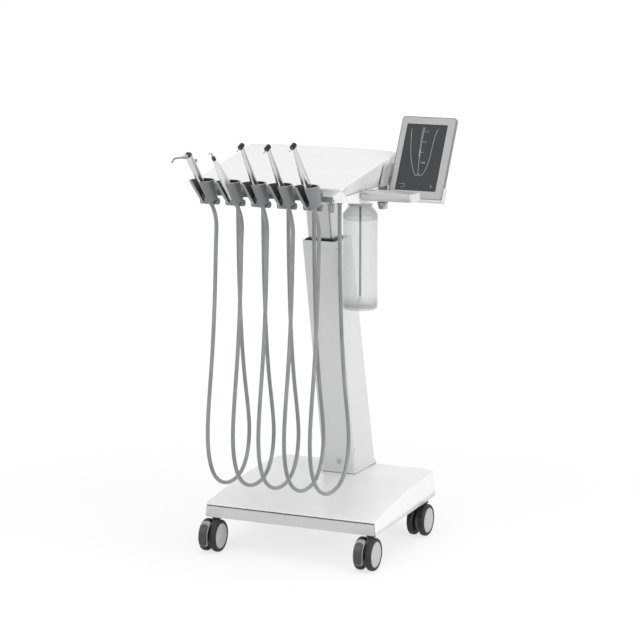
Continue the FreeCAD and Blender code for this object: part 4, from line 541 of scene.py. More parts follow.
# Height of two straight slopes joined by an arc: outside its two touching points the line is straight,
# between them it is the circle that touches both.
def crowned(y, peak, slopeFront, slopeBack, radius):
    a, b = math.atan(slopeFront), -math.atan(slopeBack)
    reach = radius * math.tan((a - b) / 2)
    y1, y2 = peak[0] - reach * math.cos(a), peak[0] + reach * math.cos(b)
    z1 = peak[1] - reach * math.sin(a)
    cy, cz = y1 + radius * math.sin(a), z1 - radius * math.cos(a)
    arc = cz + np.sqrt(np.maximum(radius ** 2 - (y - cy) ** 2, 0))
    line = np.where(y < peak[0], peak[1] + (y - peak[0]) * slopeFront, peak[1] - (y - peak[0]) * slopeBack)
    return np.where((y > y1) & (y < y2), arc, line)


# A lid with some piece's edge radius and draft. right is the line of its right edge from front to back,
# already moved in by that radius. The cap is a grid: row i runs from -x to +x at that line's y. Four rings
# round its rim then follow a quarter circle, and more go down to foot(x, y), outwards by the draft.
def shellOver(facts, right, top, foot):
    across, edge, draft = facts["across"], facts["edge"], math.radians(facts["draft"])
    x = right[:, 0, None] * np.linspace(-1, 1, across)
    y = right[:, 1, None] + 0 * x
    cap = np.stack([x, y, top(x, y)], -1).reshape(-1, 3)
    rows = len(right)
    index = np.arange(rows * across).reshape(rows, across)
    loop = np.concatenate([index[0], index[1:, -1], index[-1, :-1][::-1], index[1:-1, 0][::-1]])
    rim = cap[loop]
    way = np.roll(rim, -1, 0)[:, :2] - np.roll(rim, 1, 0)[:, :2]
    normal = np.stack([way[:, 1], -way[:, 0]], -1)
    normal /= np.linalg.norm(normal, axis=1)[:, None]
    rings = [rim]
    for a in np.linspace(0, math.pi / 2 - draft, 5)[1:]:
        out, drop = edge * math.sin(a), edge * (1 - math.cos(a))
        rings.append(np.column_stack([rim[:, :2] + normal * out, rim[:, 2] - drop]))
    last = rings[-1]
    low = foot(last[:, 0], last[:, 1])
    for share in np.linspace(0, 1, facts["rings"] + 1)[1:]:
        drop = (last[:, 2] - low) * share
        out = (drop * math.tan(draft))[:, None] * normal
        rings.append(np.column_stack([last[:, :2] + out, last[:, 2] - drop]))
    points = np.concatenate([cap] + rings[1:])
    size = len(loop)
    ring = np.concatenate([loop, np.arange((len(rings) - 1) * size) + rows * across]).reshape(-1, size)
    a, b = ring[:-1], ring[1:]
    quads = np.stack([a, b, np.roll(b, -1, 1), np.roll(a, -1, 1)], -1).reshape(-1, 4)
    return points, gridFaces(rows, across) + quads.tolist()


# Right half of a plan outline from its front middle to its back middle, moved in by an inset. straight is
# the place and the half width of a corner between the two.
def sideLine(front, back, frontHalf, backHalf, frontRound, backRound, inset, spacing, straight=None):
    corners = [(0, front + inset), (frontHalf - inset, front + inset, max(frontRound - inset, 0.0004))]
    if straight:
        corners.append((straight[1] - inset, front + straight[0]))
    corners += [(backHalf - inset, back - inset, max(backRound - inset, 0.0004)), (0, back - inset)]
    return refined(roundedLine(corners, 7)[1:-1], spacing)


def addLid(name, shape, wall, *finish):
    solidify = addMesh(name, *shape, *finish, 30).modifiers.new("wall", "SOLIDIFY")
    solidify.thickness, solidify.offset = wall, -1


def makeBaseCover():
    atTop = (base["crest"][1] - base["skirt"]) * math.tan(math.radians(base["draft"]))
    front = base["front"] + atTop * base["frontDraft"]
    frontHalf = base["frontHalf"] - atTop * base["frontDraft"]
    right = sideLine(front, base["back"] - atTop, frontHalf, base["backHalf"] - atTop, base["frontRound"],
                     base["backRound"] - base["roundOff"], base["edge"], base["spacing"],
                     (base["straight"], frontHalf - atTop * base["waist"]))

    def top(x, y):
        return crowned(y, base["crest"], base["frontSlope"], base["backSlope"], base["crown"])

    def foot(x, y):
        ahead = (y < base["front"] + base["ahead"]) & (np.abs(x) < base["fasciaHalf"])
        return np.where(ahead, base["seam"], base["skirt"])

    # the base cover takes the lighter copy of the casing: painted light on its shaded top
    addLid("baseCoverShell", shellOver(base, right, top, foot), base["wall"], "casingBase", "base",
           "casing_white", ["base_cover"])
    softened("base_chassis", "chassis", "base", "chassis_paint", 0.0008)
    print("base made")


# Column: leaning shell with a rim, a foot flange, panel gaps, a wiper seal and the inner column. Lines list
# (height, growth, corner radius): rimLine and wiper from the rim, flange and footGap from the foot. rows are
# the shell's own: where they begin over the foot and end under the rim, and how many there are
column = {"lean": 12, "rim": 0.712, "foot": 0.1403, "half": 0.04025, "front": 0.0423, "backTop": 0.0595,
          "backFoot": 0.082, "round": 0.0035, "axis": 0.023, "shellFrom": 0.0074, "rows": (0.02, -0.004, 14),
          "rimLine": [(-0.0006,), (0, -0.0006, 0.003), (0, -0.0021, 0.0015), (-0.0006, -0.0025, 0.0012),
                      (-0.05, -0.0025, 0.0012)],
          "flange": [(0, 0.003), (0.006, 0.003), (0.0067, 0.0026), (0.007, 0.002), (0.007, 0.0004),
                     (0.0074, 0)],
          "footGap": [(-0.0012, 0.002), (-0.0012, 0.0032), (0.0012, 0.0032), (0.0012, 0.002)],
          "wiper": [(-0.0035, 0.0004), (-0.0035, 0.0052), (0.003, 0.0048), (0.005, 0.0012), (0.005, 0.0004)],
          "panelFrom": 0.0045, "panelWidth": 0.0007, "panelDepth": (-0.0003, 0.00008),
          "panelEnds": (0.160, 0.690), "innerHalf": 0.030, "slitFrom": 0.0024, "slit": 0.0009,
          "slitRaise": 0.0002, "slitEnds": (0.700, 0.815)}


def axisAt(z):
    return column["axis"] + (column["rim"] - z) * math.tan(math.radians(column["lean"]))


def columnRing(z, grow=0.0, radius=None):
    share = (column["rim"] - z) / (column["rim"] - column["foot"])
    back = column["backTop"] + (column["backFoot"] - column["backTop"]) * share
    half = column["half"] + grow
    return atHeight(roundedBox(-half, half, axisAt(z) - column["front"] - grow, axisAt(z) + back + grow,
                               radius or column["round"], 6), z)


# A ring of the inner column's outline, grown by some width
def innerRing(z, grow):
    half, deep = column["innerHalf"] + grow, innerDepth() + grow
    return atHeight(roundedBox(-half, half, axisAt(z) - deep, axisAt(z) + deep, 0.0015, 4), z)


def innerDepth():
    return column["innerHalf"] / math.cos(math.radians(column["lean"]))


# Rings along a line whose heights count from z
def ringed(ring, line, z):
    return stacked([ring(z + rise, *more) for rise, *more in line], False)


def makeColumn():
    top, foot, (first, last, count) = column["rim"], column["foot"], column["rows"]
    rows = [foot - top + column["shellFrom"], *np.linspace(foot - top + first, last, count)]
    shell = ringed(columnRing, [(z,) for z in rows] + column["rimLine"], top)
    addMesh("columnShell", *joined(shell, ringed(columnRing, column["flange"], foot)), "column", "base",
            "column_paint", ["outer_column"], 32)
    # a dark ring of painted shade at the foot, where the gap between the flange and the base cover lies in
    # shadow
    addMesh("columnFootGap", *ringed(columnRing, column["footGap"], foot), "hood", "base", "column_paint")
    # the thin gap round the side panels: a dark strip near the front edge of each side
    ends = np.array(column["panelEnds"])
    strips = [boxMesh(side * (column["half"] + np.array(column["panelDepth"])), (0, column["panelWidth"]),
                      ends, axisAt(ends) - column["front"] + column["panelFrom"])
              for side in (-1, 1)]
    addMesh("columnPanelGaps", *joined(*strips), "mast", "base", "column_paint")
    softened("column_collar", "black", "base", "black_plastic", 0.0006)
    addMesh("columnWiper", *ringed(innerRing, column["wiper"], top), "black", "base", "black_plastic")
    softened("column_mast", "mast", "base", "mast_steel", 0.0006)
    softened("inner_column", "innerColumn", "head", "inner_metal", 0.0008)
    # the gap between the inner column's front and side sheets, at its right front corner
    ends = np.array(column["slitEnds"])
    slit = boxMesh(column["innerHalf"] - column["slitFrom"] + np.array([0, column["slit"]]),
                   (0, 2 * column["slitRaise"]), ends, axisAt(ends) - innerDepth() - column["slitRaise"])
    addMesh("innerColumnSlit", *slit, "black", "head", "inner_metal")
    print("column made")


# Head: cover with a crisp crest over a tray with faceted front corners. The cover's rim lies behindFront
# behind the tray's front, and inset within its sides
head = {"front": -0.293, "back": 0.040, "frontHalf": 0.1785, "backHalf": 0.186, "frontRound": 0.0005,
        "backRound": 0.016, "inset": 0.0012, "behindFront": 0.0006, "draft": 0,
        "crest": (0.012, 0.9265), "frontSlope": 0.16131, "backSlope": 0.914, "crestRound": 0.020,
        "seamSide": 0.8594, "seamFront": 0.8761, "step": 0.019, "edge": 0.004, "edgeOver": 0.03,
        "edgeLeast": 0.3, "crown": 0.0042, "crownOver": (0.25, 0.05), "wall": 0.003,
        "across": 41, "rings": 2, "spacing": 0.008}


def makeHeadCover():
    front, back = head["front"], head["back"]
    right = sideLine(front + head["behindFront"], back, head["frontHalf"], head["backHalf"],
                     head["frontRound"], head["backRound"], head["inset"], head["spacing"])
    right[:, 0] -= head["edge"] * np.clip((right[:, 1] - front) / head["edgeOver"], head["edgeLeast"], 1)

    def top(x, y):
        z = crowned(y, head["crest"], head["frontSlope"], head["backSlope"], head["crestRound"])
        ahead, behind = head["crownOver"]
        along = np.clip((y - front) / ahead, 0, 1) * np.clip((back + 0.01 - y) / behind, 0, 1)
        return z - head["crown"] * np.clip(np.abs(x) / head["backHalf"], 0, 1) ** 4 * along

    def foot(x, y):
        share = np.clip((y - front) / head["step"], 0, 1)
        return head["seamFront"] + (head["seamSide"] - head["seamFront"]) * share

    addLid("headCoverShell", shellOver(head, right, top, foot), head["wall"], "casing", "head",
           "casing_white", ["head_cover"])
    softened("holder_rail", "rail", "head", "rail_grey", 0.0008)
    print("head made")


# Side handle, the tablet's arm and its cradle. The bracket's light leaf ends at the line y = edge + slope z
handle = {"capFrom": 0.296, "seam": 0.0012, "pivot": (0.193, 0.8503), "face": -0.2042, "arc": (25, 155),
          "arcRadius": 0.0066, "arcWidth": 0.0018}
# foot is the height under which the bracket carries a painted shadow of the seam
bracketLeaf = {"foot": 0.857, "slope": 0.5, "edge": -0.5325}


def makeArms():
    softened("tablet_bracket", "bracketMoulded", "head", "cradle_grey", 0.0008)
    softened("tablet_cradle", "cradle", "tablet_mount", "cradle_grey", 0.0006)
    softened("side_handle", "handleMoulded", "handle", "handle_grey", 0.0055, 5)
    softened("handle_knob", "knobRibbed", "handle_knob", "knob_grey", 0.0004)
    softened("regulator_knob", "knobRibbed", "regulator", "knob_grey", 0.0003)
    # a dark mark over the pin's head: an arc in the XZ plane, carried as a thin round rod
    t = np.radians(np.linspace(*handle["arc"], 24))
    (x, z), r = handle["pivot"], handle["arcRadius"]
    path = np.column_stack([x + r * np.cos(t), 0 * t + handle["face"], z + r * np.sin(t)])
    addMesh("handleMark", *rodAlong(path, handle["arcWidth"] / 2, 8, (0, 1, 0)), "black", "handle",
            "handle_grey")
    print("arms made")


# Instrument holders: open cups with a level mouth, a slot in front, a lug on the rail and a saddle that
# joins the valve behind. Sizes along the cup are measured in its own frame, from the hose's end.
cup = {"foot": (-0.3147, 0.8298), "lean": 36, "lift": 0.019, "footRadius": 0.0197, "flare": 0.14048,
       "wall": 0.003, "inward": 0.003042, "hole": 0.010, "level": 0.8885, "slotFoot": 0.0055,
       "slotGrow": 0.0452, "rows": 14, "columns": 65,
       "lug": ((-0.009, 0.009), (-0.31425, -0.29305), (0.8461, 0.8661)),
       "saddle": ((-0.009, 0.009), (0.0095, 0.019), (-0.002, 0.021)), "valve": (-0.010, 0.0136, -0.0046)}
valveLine = [(0, -0.022), (0.0075, -0.022, 0.0022), (0.0075, -0.0165), (0.0072, -0.0163), (0.0072, -0.0156),
             (0.0075, -0.0154), (0.0075, 0.022, 0.0022), (0, 0.022)]


# From a cup's own frame into place, when what it holds leans by some degrees
def inCup(points, x, lean=cup["lean"]):
    return leaned(points, lean, (x, *cup["foot"]))


# The wall is part of a cone: radius = footRadius + flare (z - lift), less inward on its inside. A point at an
# angle from the back is (r sin a, r cos a, z). Its mouth lies in a level plane:
# footZ + z cos(lean) + r cos(a) sin(lean) = level. The slot's half width is slotFoot + slotGrow (z - lift).
def cupShell():
    s, c = sineCosine(cup["lean"])
    low, wall, n = cup["lift"], cup["wall"], cup["rows"]
    count, columns = 2 * n + 3, cup["columns"]
    rise = np.linspace(0, 1, n)
    share = np.concatenate([[0, 0], rise, rise[::-1], [0]])[:, None]
    start = np.concatenate([[low, low], np.full(count - 2, low + wall)])[:, None]
    inward = np.concatenate([np.zeros(n + 2), np.full(n, cup["inward"]), [0]])[:, None]
    atHole = np.isin(np.arange(count), (0, count - 1))[:, None]
    across = np.linspace(-1, 1, columns)[None, :]
    height = start + 0 * across
    for _ in range(5):
        cone = cup["footRadius"] + cup["flare"] * (height - low) - inward
        radius = np.where(atHole, cup["hole"], cone)
        half = cup["slotFoot"] + cup["slotGrow"] * (height - low)
        angle = across * (np.pi - np.arcsin(half / radius))
        mouth = (cup["level"] - cup["foot"][1] - radius * np.cos(angle) * s) / c
        height = start + share * (mouth - start)
    points = np.stack([radius * np.sin(angle), radius * np.cos(angle), height], -1).transpose(1, 0, 2)
    faces = gridFaces(columns, count, True)
    # shades: 0 outside, 1 the slot's edges and the rim with a painted highlight, 2 inside with painted shade
    band = np.full(count, 2)
    band[:n + 1], band[[n + 1, count - 1]] = 0, (1, 0)
    shades = np.tile(band, columns - 1).tolist()
    for first in (0, (columns - 1) * count):
        last = first + count
        faces += [[first + 2 + i, first + 3 + i, last - 3 - i, last - 2 - i] for i in range(n - 1)]
        faces.append([first, first + 1, first + 2, last - 2, last - 1])
        shades += [1] * n
    return points.reshape(-1, 3), faces, shades


def makeHolders():
    shell, shellFaces, shades = cupShell()
    saddle, boxFaces = boxMesh(*cup["saddle"])
    for index, x in enumerate(holderPlaces, start=1):
        acrossLug, *lug = cup["lug"]
        points, faces = joined((inCup(shell, x), shellFaces), boxMesh(np.array(acrossLug) + x, *lug),
                               (inCup(saddle, x), boxFaces))
        # the cups' insides carry painted shade, their slot edges and rims a painted highlight
        item = addMesh(f"cup{index}", points, faces, ["holder", "holderLip", "holderInside"], "head",
                       "holder_grey", [f"holder_{index}"], 30, shades=shades + [0] * 2 * len(boxFaces))
        bevelled(item, 0.0006)
    valve, faces = turned(valveLine, 40, 5)
    valve = valve[:, [2, 0, 1]] + np.array(cup["valve"])
    addMesh("valveBarrels", *joined(*[(inCup(valve, x), faces) for x in holderPlaces]), "holder", "head",
            "holder_grey", ["holder_valves"], 30)
    print("holders made")


# Instruments, turned about their own axes from the hose's end: connector, seating ring, then the body. Lines
# list (radius, height, corner radius), that of the scaler's tip (y, z, corner radius)
instrument = {"tail": 0.0055, "ring": 0.0115, "ringHeight": 0.008, "floor": 0.0221}
syringe = {"lean": 42.5, "capFrom": 0.1625, "nozzleSeat": 0.159, "nozzleLean": 45, "bend": 38,
           "pipeFrom": 0.040, "straight": 0.069, "tip": 0.012, "bendRadius": 0.0209, "pipe": 0.0017,
           "body": [(0.0074, 0.0756, 0.05), (0.0086, 0.121, 0.05), (0.0086, 0.162, 0.003),
                    (0.0046, 0.168, 0.001), (0, 0.168)],
           "nut": [(0, 0.003), (0.003, 0.003), (0.003, 0.0115), (0.0046, 0.0115, 0.0006), (0.0046, 0.0135),
                   (0.0041, 0.0139), (0.0041, 0.0147), (0.0044, 0.0151), (0.0019, 0.0415, 0.0006),
                   (0, 0.0415)]}
scaler = {"lean": 44, "metalFrom": 0.1675,
          "body": [(0.009, 0.0628, 0.05), (0.0096, 0.08164, 0.05), (0.008448, 0.11147, 0.05),
                   (0.006432, 0.13502, 0.05), (0.0044, 0.152, 0.01), (0.0039, 0.157, 0.0004), (0, 0.157)],
          "collar": [(0, 0.157), (0.0042, 0.15705, 0.0003), (0.0042, 0.165, 0.0008), (0.0022, 0.168),
                     (0.0011, 0.175, 0.0004), (0, 0.175)],
          "tip": [(0, 0.1735), (0.0005, 0.1819, 0.0064), (-0.010, 0.1859)]}
# The knurls' line goes in and out from one point to the next. burLean turns the head's axis from the body's
turbine = {"lean": 36, "burLean": 77.5,
           "slim": {"headAt": 0.179,
                    "body": [(0.0084, 0.044, 0.0005), (0.0076, 0.046, 0.0005),
                             *[(0.0077 + 0.00018 * (-1) ** k, 0.047 + 0.0012 * k) for k in range(20)],
                             (0.0078, 0.0735, 0.01), (0.0064, 0.100, 0.05), (0.0048, 0.1512, 0.03),
                             (0.0044, 0.166), (0.0044, 0.1766, 0.001), (0, 0.1766)]},
           "stout": {"headAt": 0.188,
                     "body": [(0.0098, 0.0832), (0.0093, 0.0835), (0.0093, 0.0842), (0.0098, 0.0845),
                              (0.0092, 0.092, 0.01), (0.007644, 0.118, 0.04), (0.0052, 0.1602, 0.03),
                              (0.0044, 0.175), (0.0044, 0.1856, 0.001), (0, 0.1856)]},
           "head": [(0, -0.0031), (0.00465, -0.0031), (0.00465, -0.0052), (0.0056, -0.0052, 0.0005),
                    (0.0056, 0.0078, 0.0012), (0.0026, 0.0078), (0.0026, 0.0030), (0, 0.0030)]}


# The seating ring stands at floor / cos(apart) + ring tan(apart) above the hose's end, when the instrument
# leans away from its cup's axis. paint lists the finishes above the ring; bands says from which height the
# second one is used.
def makeInstrument(name, node, lean, x, body, paint, slot, bands=()):
    apart, tail, ring = math.radians(abs(lean - cup["lean"])), instrument["tail"], instrument["ring"]
    seat = instrument["floor"] / math.cos(apart) + ring * math.tan(apart)
    top = seat + instrument["ringHeight"]
    corners = [(0, 0), (tail, 0, 0.0006), (tail, seat, 0.0004), (ring, seat, 0.0008), (ring, top, 0.0012),
               (body[0][0] + 0.0008, top), (body[0][0], top + 0.003)] + body
    points, faces, shades = banded(corners, 48, [(-1, 0), (top, 1), *bands])
    addMesh(name, inCup(points, x, lean), faces, ["hoseSilicone", *paint], "head", slot, [node], 32,
            shades=shades)


# A round rod along a line of (y, z) corners in the YZ plane
def bentPipe(corners, steps, radius, count):
    line = roundedLine(corners, steps)
    return rodAlong(np.column_stack([0 * line[:, 0], line]), radius, count, (1, 0, 0))


def makeSyringe(x):
    lean = syringe["lean"]
    makeInstrument("syringeBody", "syringe_body", lean, x, syringe["body"], ["handpiece", "black"],
                   "handpiece_metal", [(syringe["capFrom"], 2)])
    # nozzle: ribbed cone nut, then a pipe bent near its end
    nut = turned(syringe["nut"], 32)
    (s, c), straight, tip = sineCosine(syringe["bend"]), syringe["straight"], syringe["tip"]
    corners = [(0, syringe["pipeFrom"]), (0, straight, syringe["bendRadius"]), (-tip * s, straight + tip * c)]
    pipe = bentPipe(corners, 10, syringe["pipe"], 16)
    points, faces = joined(nut, pipe)
    points = inCup(leaned(points, syringe["nozzleLean"], (0, 0, syringe["nozzleSeat"])), x, lean)
    addMesh("nozzleWhole", points, faces, ["fitting", "darkSteel"], "nozzle", "chrome", ["syringe_nozzle"],
            30, shades=[0] * len(nut[1]) + [1] * len(pipe[1]))


def makeScaler(x):
    lean = scaler["lean"]
    makeInstrument("scalerBody", "scaler_body", lean, x, scaler["body"], ["handpieceWhite"],
                   "handpiece_white")
    points, faces, shades = banded(scaler["collar"], 32, [(-1, 0), (scaler["metalFrom"], 1)])
    tip = bentPipe(scaler["tip"], 12, 0.0008, 12)
    points, faces = joined((points, faces), tip)
    addMesh("scalerTip", inCup(points, x, lean), faces, ["black", "darkSteel"], "head", "handpiece_metal",
            ["scaler_tip"], 30, shades=[*shades, *[1] * len(tip[1])])


def makeTurbine(index, x, form):
    lean, facts = turbine["lean"], turbine[form]
    makeInstrument(f"turbineBody{index}", f"turbine_{index}", lean, x, facts["body"], ["handpiece"],
                   "handpiece_metal")
    points, faces = turned(turbine["head"], 40)
    points = inCup(leaned(points, turbine["burLean"], (0, 0, facts["headAt"])), x, lean)
    addMesh(f"turbineHead{index}", points, faces, "headBlack", "head", "handpiece_metal")


def makeInstruments():
    first, second, *others = holderPlaces
    makeSyringe(first)
    makeScaler(second)
    for index, (x, form) in enumerate(zip(others, ("slim", "slim", "stout")), start=1):
        makeTurbine(index, x, form)
    print("instruments made")


# Water bottle: a double wall turned about its axis, frosted, with a milky body under a clearer shoulder. The
# line lists (radius, height, corner radius), up the outside and down the inside
bottle = {"axis": (0.110, -0.032), "milkyTop": 0.774, "milkyFoot": 0.580, "fillLine": 0.0014,
          "filterTop": 0.5945,
          "line": [(0, 0.570), (0.0277, 0.569), (0.0307, 0.566), (0.0397, 0.566, 0.006),
                   (0.0397, 0.784, 0.009), (0.026, 0.802, 0.002), (0.024, 0.802), (0.024, 0.818, 0.0006),
                   (0.022, 0.818, 0.0006), (0.022, 0.801, 0.002), (0.0377, 0.783, 0.008),
                   (0.0377, 0.568, 0.005), (0.0277, 0.571), (0, 0.572)]}


def makeBottle():
    points, faces = turned(bottle["line"], 72, 6)
    points += np.array([*bottle["axis"], 0])
    addMesh("bottleBody", points, faces, "bottleFrosted", "bottle", "bottle_clear", ["bottle"], 40)
    print("bottle made")


# Tablet in its own frame: u across from its middle, v up its face, depth behind the face. digit and pitch
# are half a digit's height and the way to the next one, in millimetres
tablet = {"place": (0.2605, -0.082, 0.832), "lean": -28.2, "half": 0.065, "height": 0.196,
          "thick": 0.009, "round": 0.007, "edge": 0.0015, "backEdge": 0.0009, "rim": 0.0009,
          "screen": (-0.0506, 0.046, 0.0196, 0.178), "raise": 0.00012, "digit": 1.7, "pitch": 1.9}
# What the display shows, in millimetres: lines that are smoothed, ticks (u, u, v), and numbers (text, u, v)
# written with the digits' strokes
strokes = {
    "leftRoot": [(-37.7, 166.8), (-35.5, 144.8), (-31.8, 120.8), (-27.9, 100.9), (-23.0, 85.0), (-16.7, 69.3),
                 (-11.7, 59.5), (-6.8, 54.7), (-4.0, 56.2), (-3.2, 61.5)],
    "rightRoot": [(24.8, 167.8), (20.9, 155.1), (19.5, 137.0), (18.6, 117.0), (17.6, 97.0), (15.3, 78.9),
                  (11.7, 66.7), (7.6, 57.5), (4.6, 54.4), (0.1, 57.1), (-3.2, 61.5)],
    "scale": [(-8.8, 169.9), (-9.5, 155.9), (-9.4, 135.8), (-8.3, 115.8), (-7.4, 100.8), (-5.9, 85.8),
              (-3.3, 62)],
    "arrow": [(-43.4, 34.9), (-32.6, 35.1), (-29.6, 34.0), (-28.4, 31.0), (-29.4, 28.2), (-32.4, 26.9),
              (-38.7, 26.8)],
    "bracket": [(32.0, 34.8), (33.4, 33.0), (33.9, 31.0), (33.4, 29.0), (32.0, 27.2)]}
ticks = [(-5.6, -3.0, 160), (-6.4, -3.6, 135.5), (-5.2, -2.2, 110.4), (-2.8, 0.2, 86)]
numbers = [("3", 0.0, 159), ("2", -0.6, 134), ("1", 0.2, 109.4), ("0.0", 2.0, 85)]
digits = {"0": [(0, 0), (1, 0), (1, 2), (0, 2), (0, 0)], "1": [(0.5, 0), (0.5, 2), (0, 1.6)],
          "2": [(0, 2), (1, 2), (1, 1.1), (0, 0.9), (0, 0), (1, 0)],
          "3": [(0, 2), (1, 2), (1, 1), (0.2, 1), (1, 1), (1, 0), (0, 0)], ".": [(0.4, 0), (0.4, 0.3)]}


# A flat band along a line: each point is widened square to the line by half the width there, which runs
# evenly from the first width to the second.
def ribbon(line, width):
    line = np.asarray(line, float)
    way = np.gradient(line, axis=0)
    way /= np.maximum(np.linalg.norm(way, axis=1), 1e-9)[:, None]
    side = np.column_stack([-way[:, 1], way[:, 0]]) * np.linspace(*width, len(line))[:, None] / 2
    return np.stack([line - side, line + side], 1).reshape(-1, 2), gridFaces(len(line), 2)


# A line of the display, its corners cut twice at a quarter and three quarters of their two sides
def smoothed(name):
    line = np.array(strokes[name])
    for _ in range(2):
        cut = np.stack([line[:-1] * 0.75 + line[1:] * 0.25, line[:-1] * 0.25 + line[1:] * 0.75], 1)
        line = np.concatenate([line[:1], cut.reshape(-1, 2), line[-1:]])
    return line


def onTablet(points, depth):
    u, v = np.asarray(points, float).T
    return leaned(np.column_stack([u, 0 * u + depth, v]), tablet["lean"], tablet["place"])


# Draws lines as flat bands on the display, each with the widths of its two ends in millimetres
def drawn(name, lines, paint, level):
    parts = []
    for line, *width in lines:
        flat, quads = ribbon(np.asarray(line) / 1000, np.array([width[0], width[-1]]) / 1000)
        parts.append((onTablet(flat, -tablet["raise"] - level), quads))
    addMesh(name, *joined(*parts), paint, "tablet_mount", "bezel_grey", weld=0)


def makeTablet():
    half, high, thick, edge, back = (tablet[key] for key in ("half", "height", "thick", "edge", "backEdge"))
    # the slab is a stack of rounded outlines, each moved in to follow a quarter circle at both faces
    turn = np.radians(np.linspace(0, 90, 5))
    layers = [(edge + tablet["rim"], 0), (edge, 0)]
    layers += [(edge * (1 - math.sin(t)), edge * (1 - math.cos(t))) for t in turn[1:]]
    layers += [(back * (1 - math.cos(t)), thick - back * (1 - math.sin(t))) for t in turn]
    rings = []
    for inset, depth in layers:
        wide, corner = half - inset, tablet["round"] - inset
        rings.append(onTablet(roundedBox(-wide, wide, inset, high - inset, corner, 8), depth))
    points, faces = stacked(rings)
    addMesh("tabletSlab", points, faces, ["bezel", "tabletEdge"], "tablet_mount", "bezel_grey", ["tablet"],
            40, shades=[1] * (len(faces) - 2) + [0, 1])
    u0, u1, v0, v1 = tablet["screen"]
    corners = [(u0, v0), (u1, v0), (u1, v1), (u0, v1)]
    glass = [onTablet(corners, depth) for depth in (-tablet["raise"], 0.0002)]
    addMesh("screenGlass", *stacked(glass), "screenGlass", "tablet_mount", "bezel_grey")

    drawn("rootCurves", [(smoothed("leftRoot"), 0.7), (smoothed("rightRoot"), 0.7)], "glowLine", 0.00008)
    drawn("depthScale", [(smoothed("scale"), 6.2, 1.4)], "glowScale", 0.00005)
    drawn("depthNow", [([(-8.4, 117), (-7.6, 101)], 1.4)], "glowLine", 0.0001)
    drawn("backArrow", [(smoothed("arrow"), 0.9)], "glowArrow", 0.00008)
    lines = [(smoothed("bracket"), 0.9)] + [([(u, v), (w, v)], 0.8) for u, w, v in ticks]
    size, pitch = tablet["digit"], tablet["pitch"]
    for text, u, v in numbers:
        lines += [([(u + k * pitch + size * a, v + size * b) for a, b in digits[letter]], 0.6)
                  for k, letter in enumerate(text)]
    drawn("scaleFigures", lines, "glowLine", 0.00008)
    print("tablet made")


# Casters: two rounded tyres with domed discs, a fork with a guard over the left wheel, a pedal on the front
# ones. Lines list (radius, distance, corner radius) along the axle or the stem
caster = {"x": 0.193, "y": 0.160, "trail": 0.020, "axle": 0.0375,
          "tyre": [(0.00405, 0.006), (0.0275, 0.006), (0.029, 0.0066), (0.0375, 0.006, 0.0055),
                   (0.0375, 0.022, 0.0055), (0.0312, 0.022), (0.030, 0.0216), (0.029, 0.0208)],
          "disc": [(0.029, 0.0208), (0.0282, 0.0213, 0.0004), (0.020, 0.0217, 0.03), (0, 0.0219)],
          "rod": [(0, -0.0208), (0.004, -0.0208), (0.004, 0.0208), (0, 0.0208)],
          "stem": [(0, 0.072), (0.011, 0.072, 0.001), (0.011, 0.0797, 0.0008), (0.0055, 0.0797),
                   (0.0055, 0.100, 0.001), (0, 0.100)],
          "web": {"radius": 0.026, "half": 0.004, "angles": (-205, 30),
                  "neck": [(0.011, 0.074), (-0.011, 0.074)]},
          "guard": {"middle": -0.007, "half": 0.011, "angles": (-30, 66), "radii": (0.0387, 0.0405),
                    "round": 0.008, "edge": 0.00081},
          "pedal": {"middle": -0.007, "half": 0.0090, "angles": (-24, 48), "radii": (0.0409, 0.0441),
                    "round": 0.0075, "edge": 0.0012}}


# A plate bent round the axle. A rounded outline in (across, angle) is shrunk towards its middle ring by
# ring; a point at angle a lies at (x, -r cos a, r sin a), with r between the two radii.
def bentPlate(facts):
    low, high = (math.radians(a) for a in facts["angles"])
    inner, outer = facts["radii"]
    reach = (high - low) / 2 * outer
    line = roundedBox(-facts["half"], facts["half"], -reach, reach, facts["round"], 7)
    line = refined(np.concatenate([line, line[:1]]), 0.003)[:-1]
    edge = facts["edge"]
    inset = edge / np.linalg.norm(line, axis=1).max()
    shares = [(0, inner), (0.5, inner), (1, inner), (1, outer - edge), (1 - 0.9 * inset, outer - 0.3 * edge),
              (1 - 2.2 * inset, outer), (0.8, outer), (0.55, outer), (0.3, outer), (0, outer)]
    rings = []
    for share, radius in shares:
        angle = (low + high) / 2 + line[:, 1] * share / outer
        rings.append(np.column_stack([line[:, 0] * share + facts["middle"], -radius * np.cos(angle),
                                      radius * np.sin(angle)]))
    return stacked(rings, False)


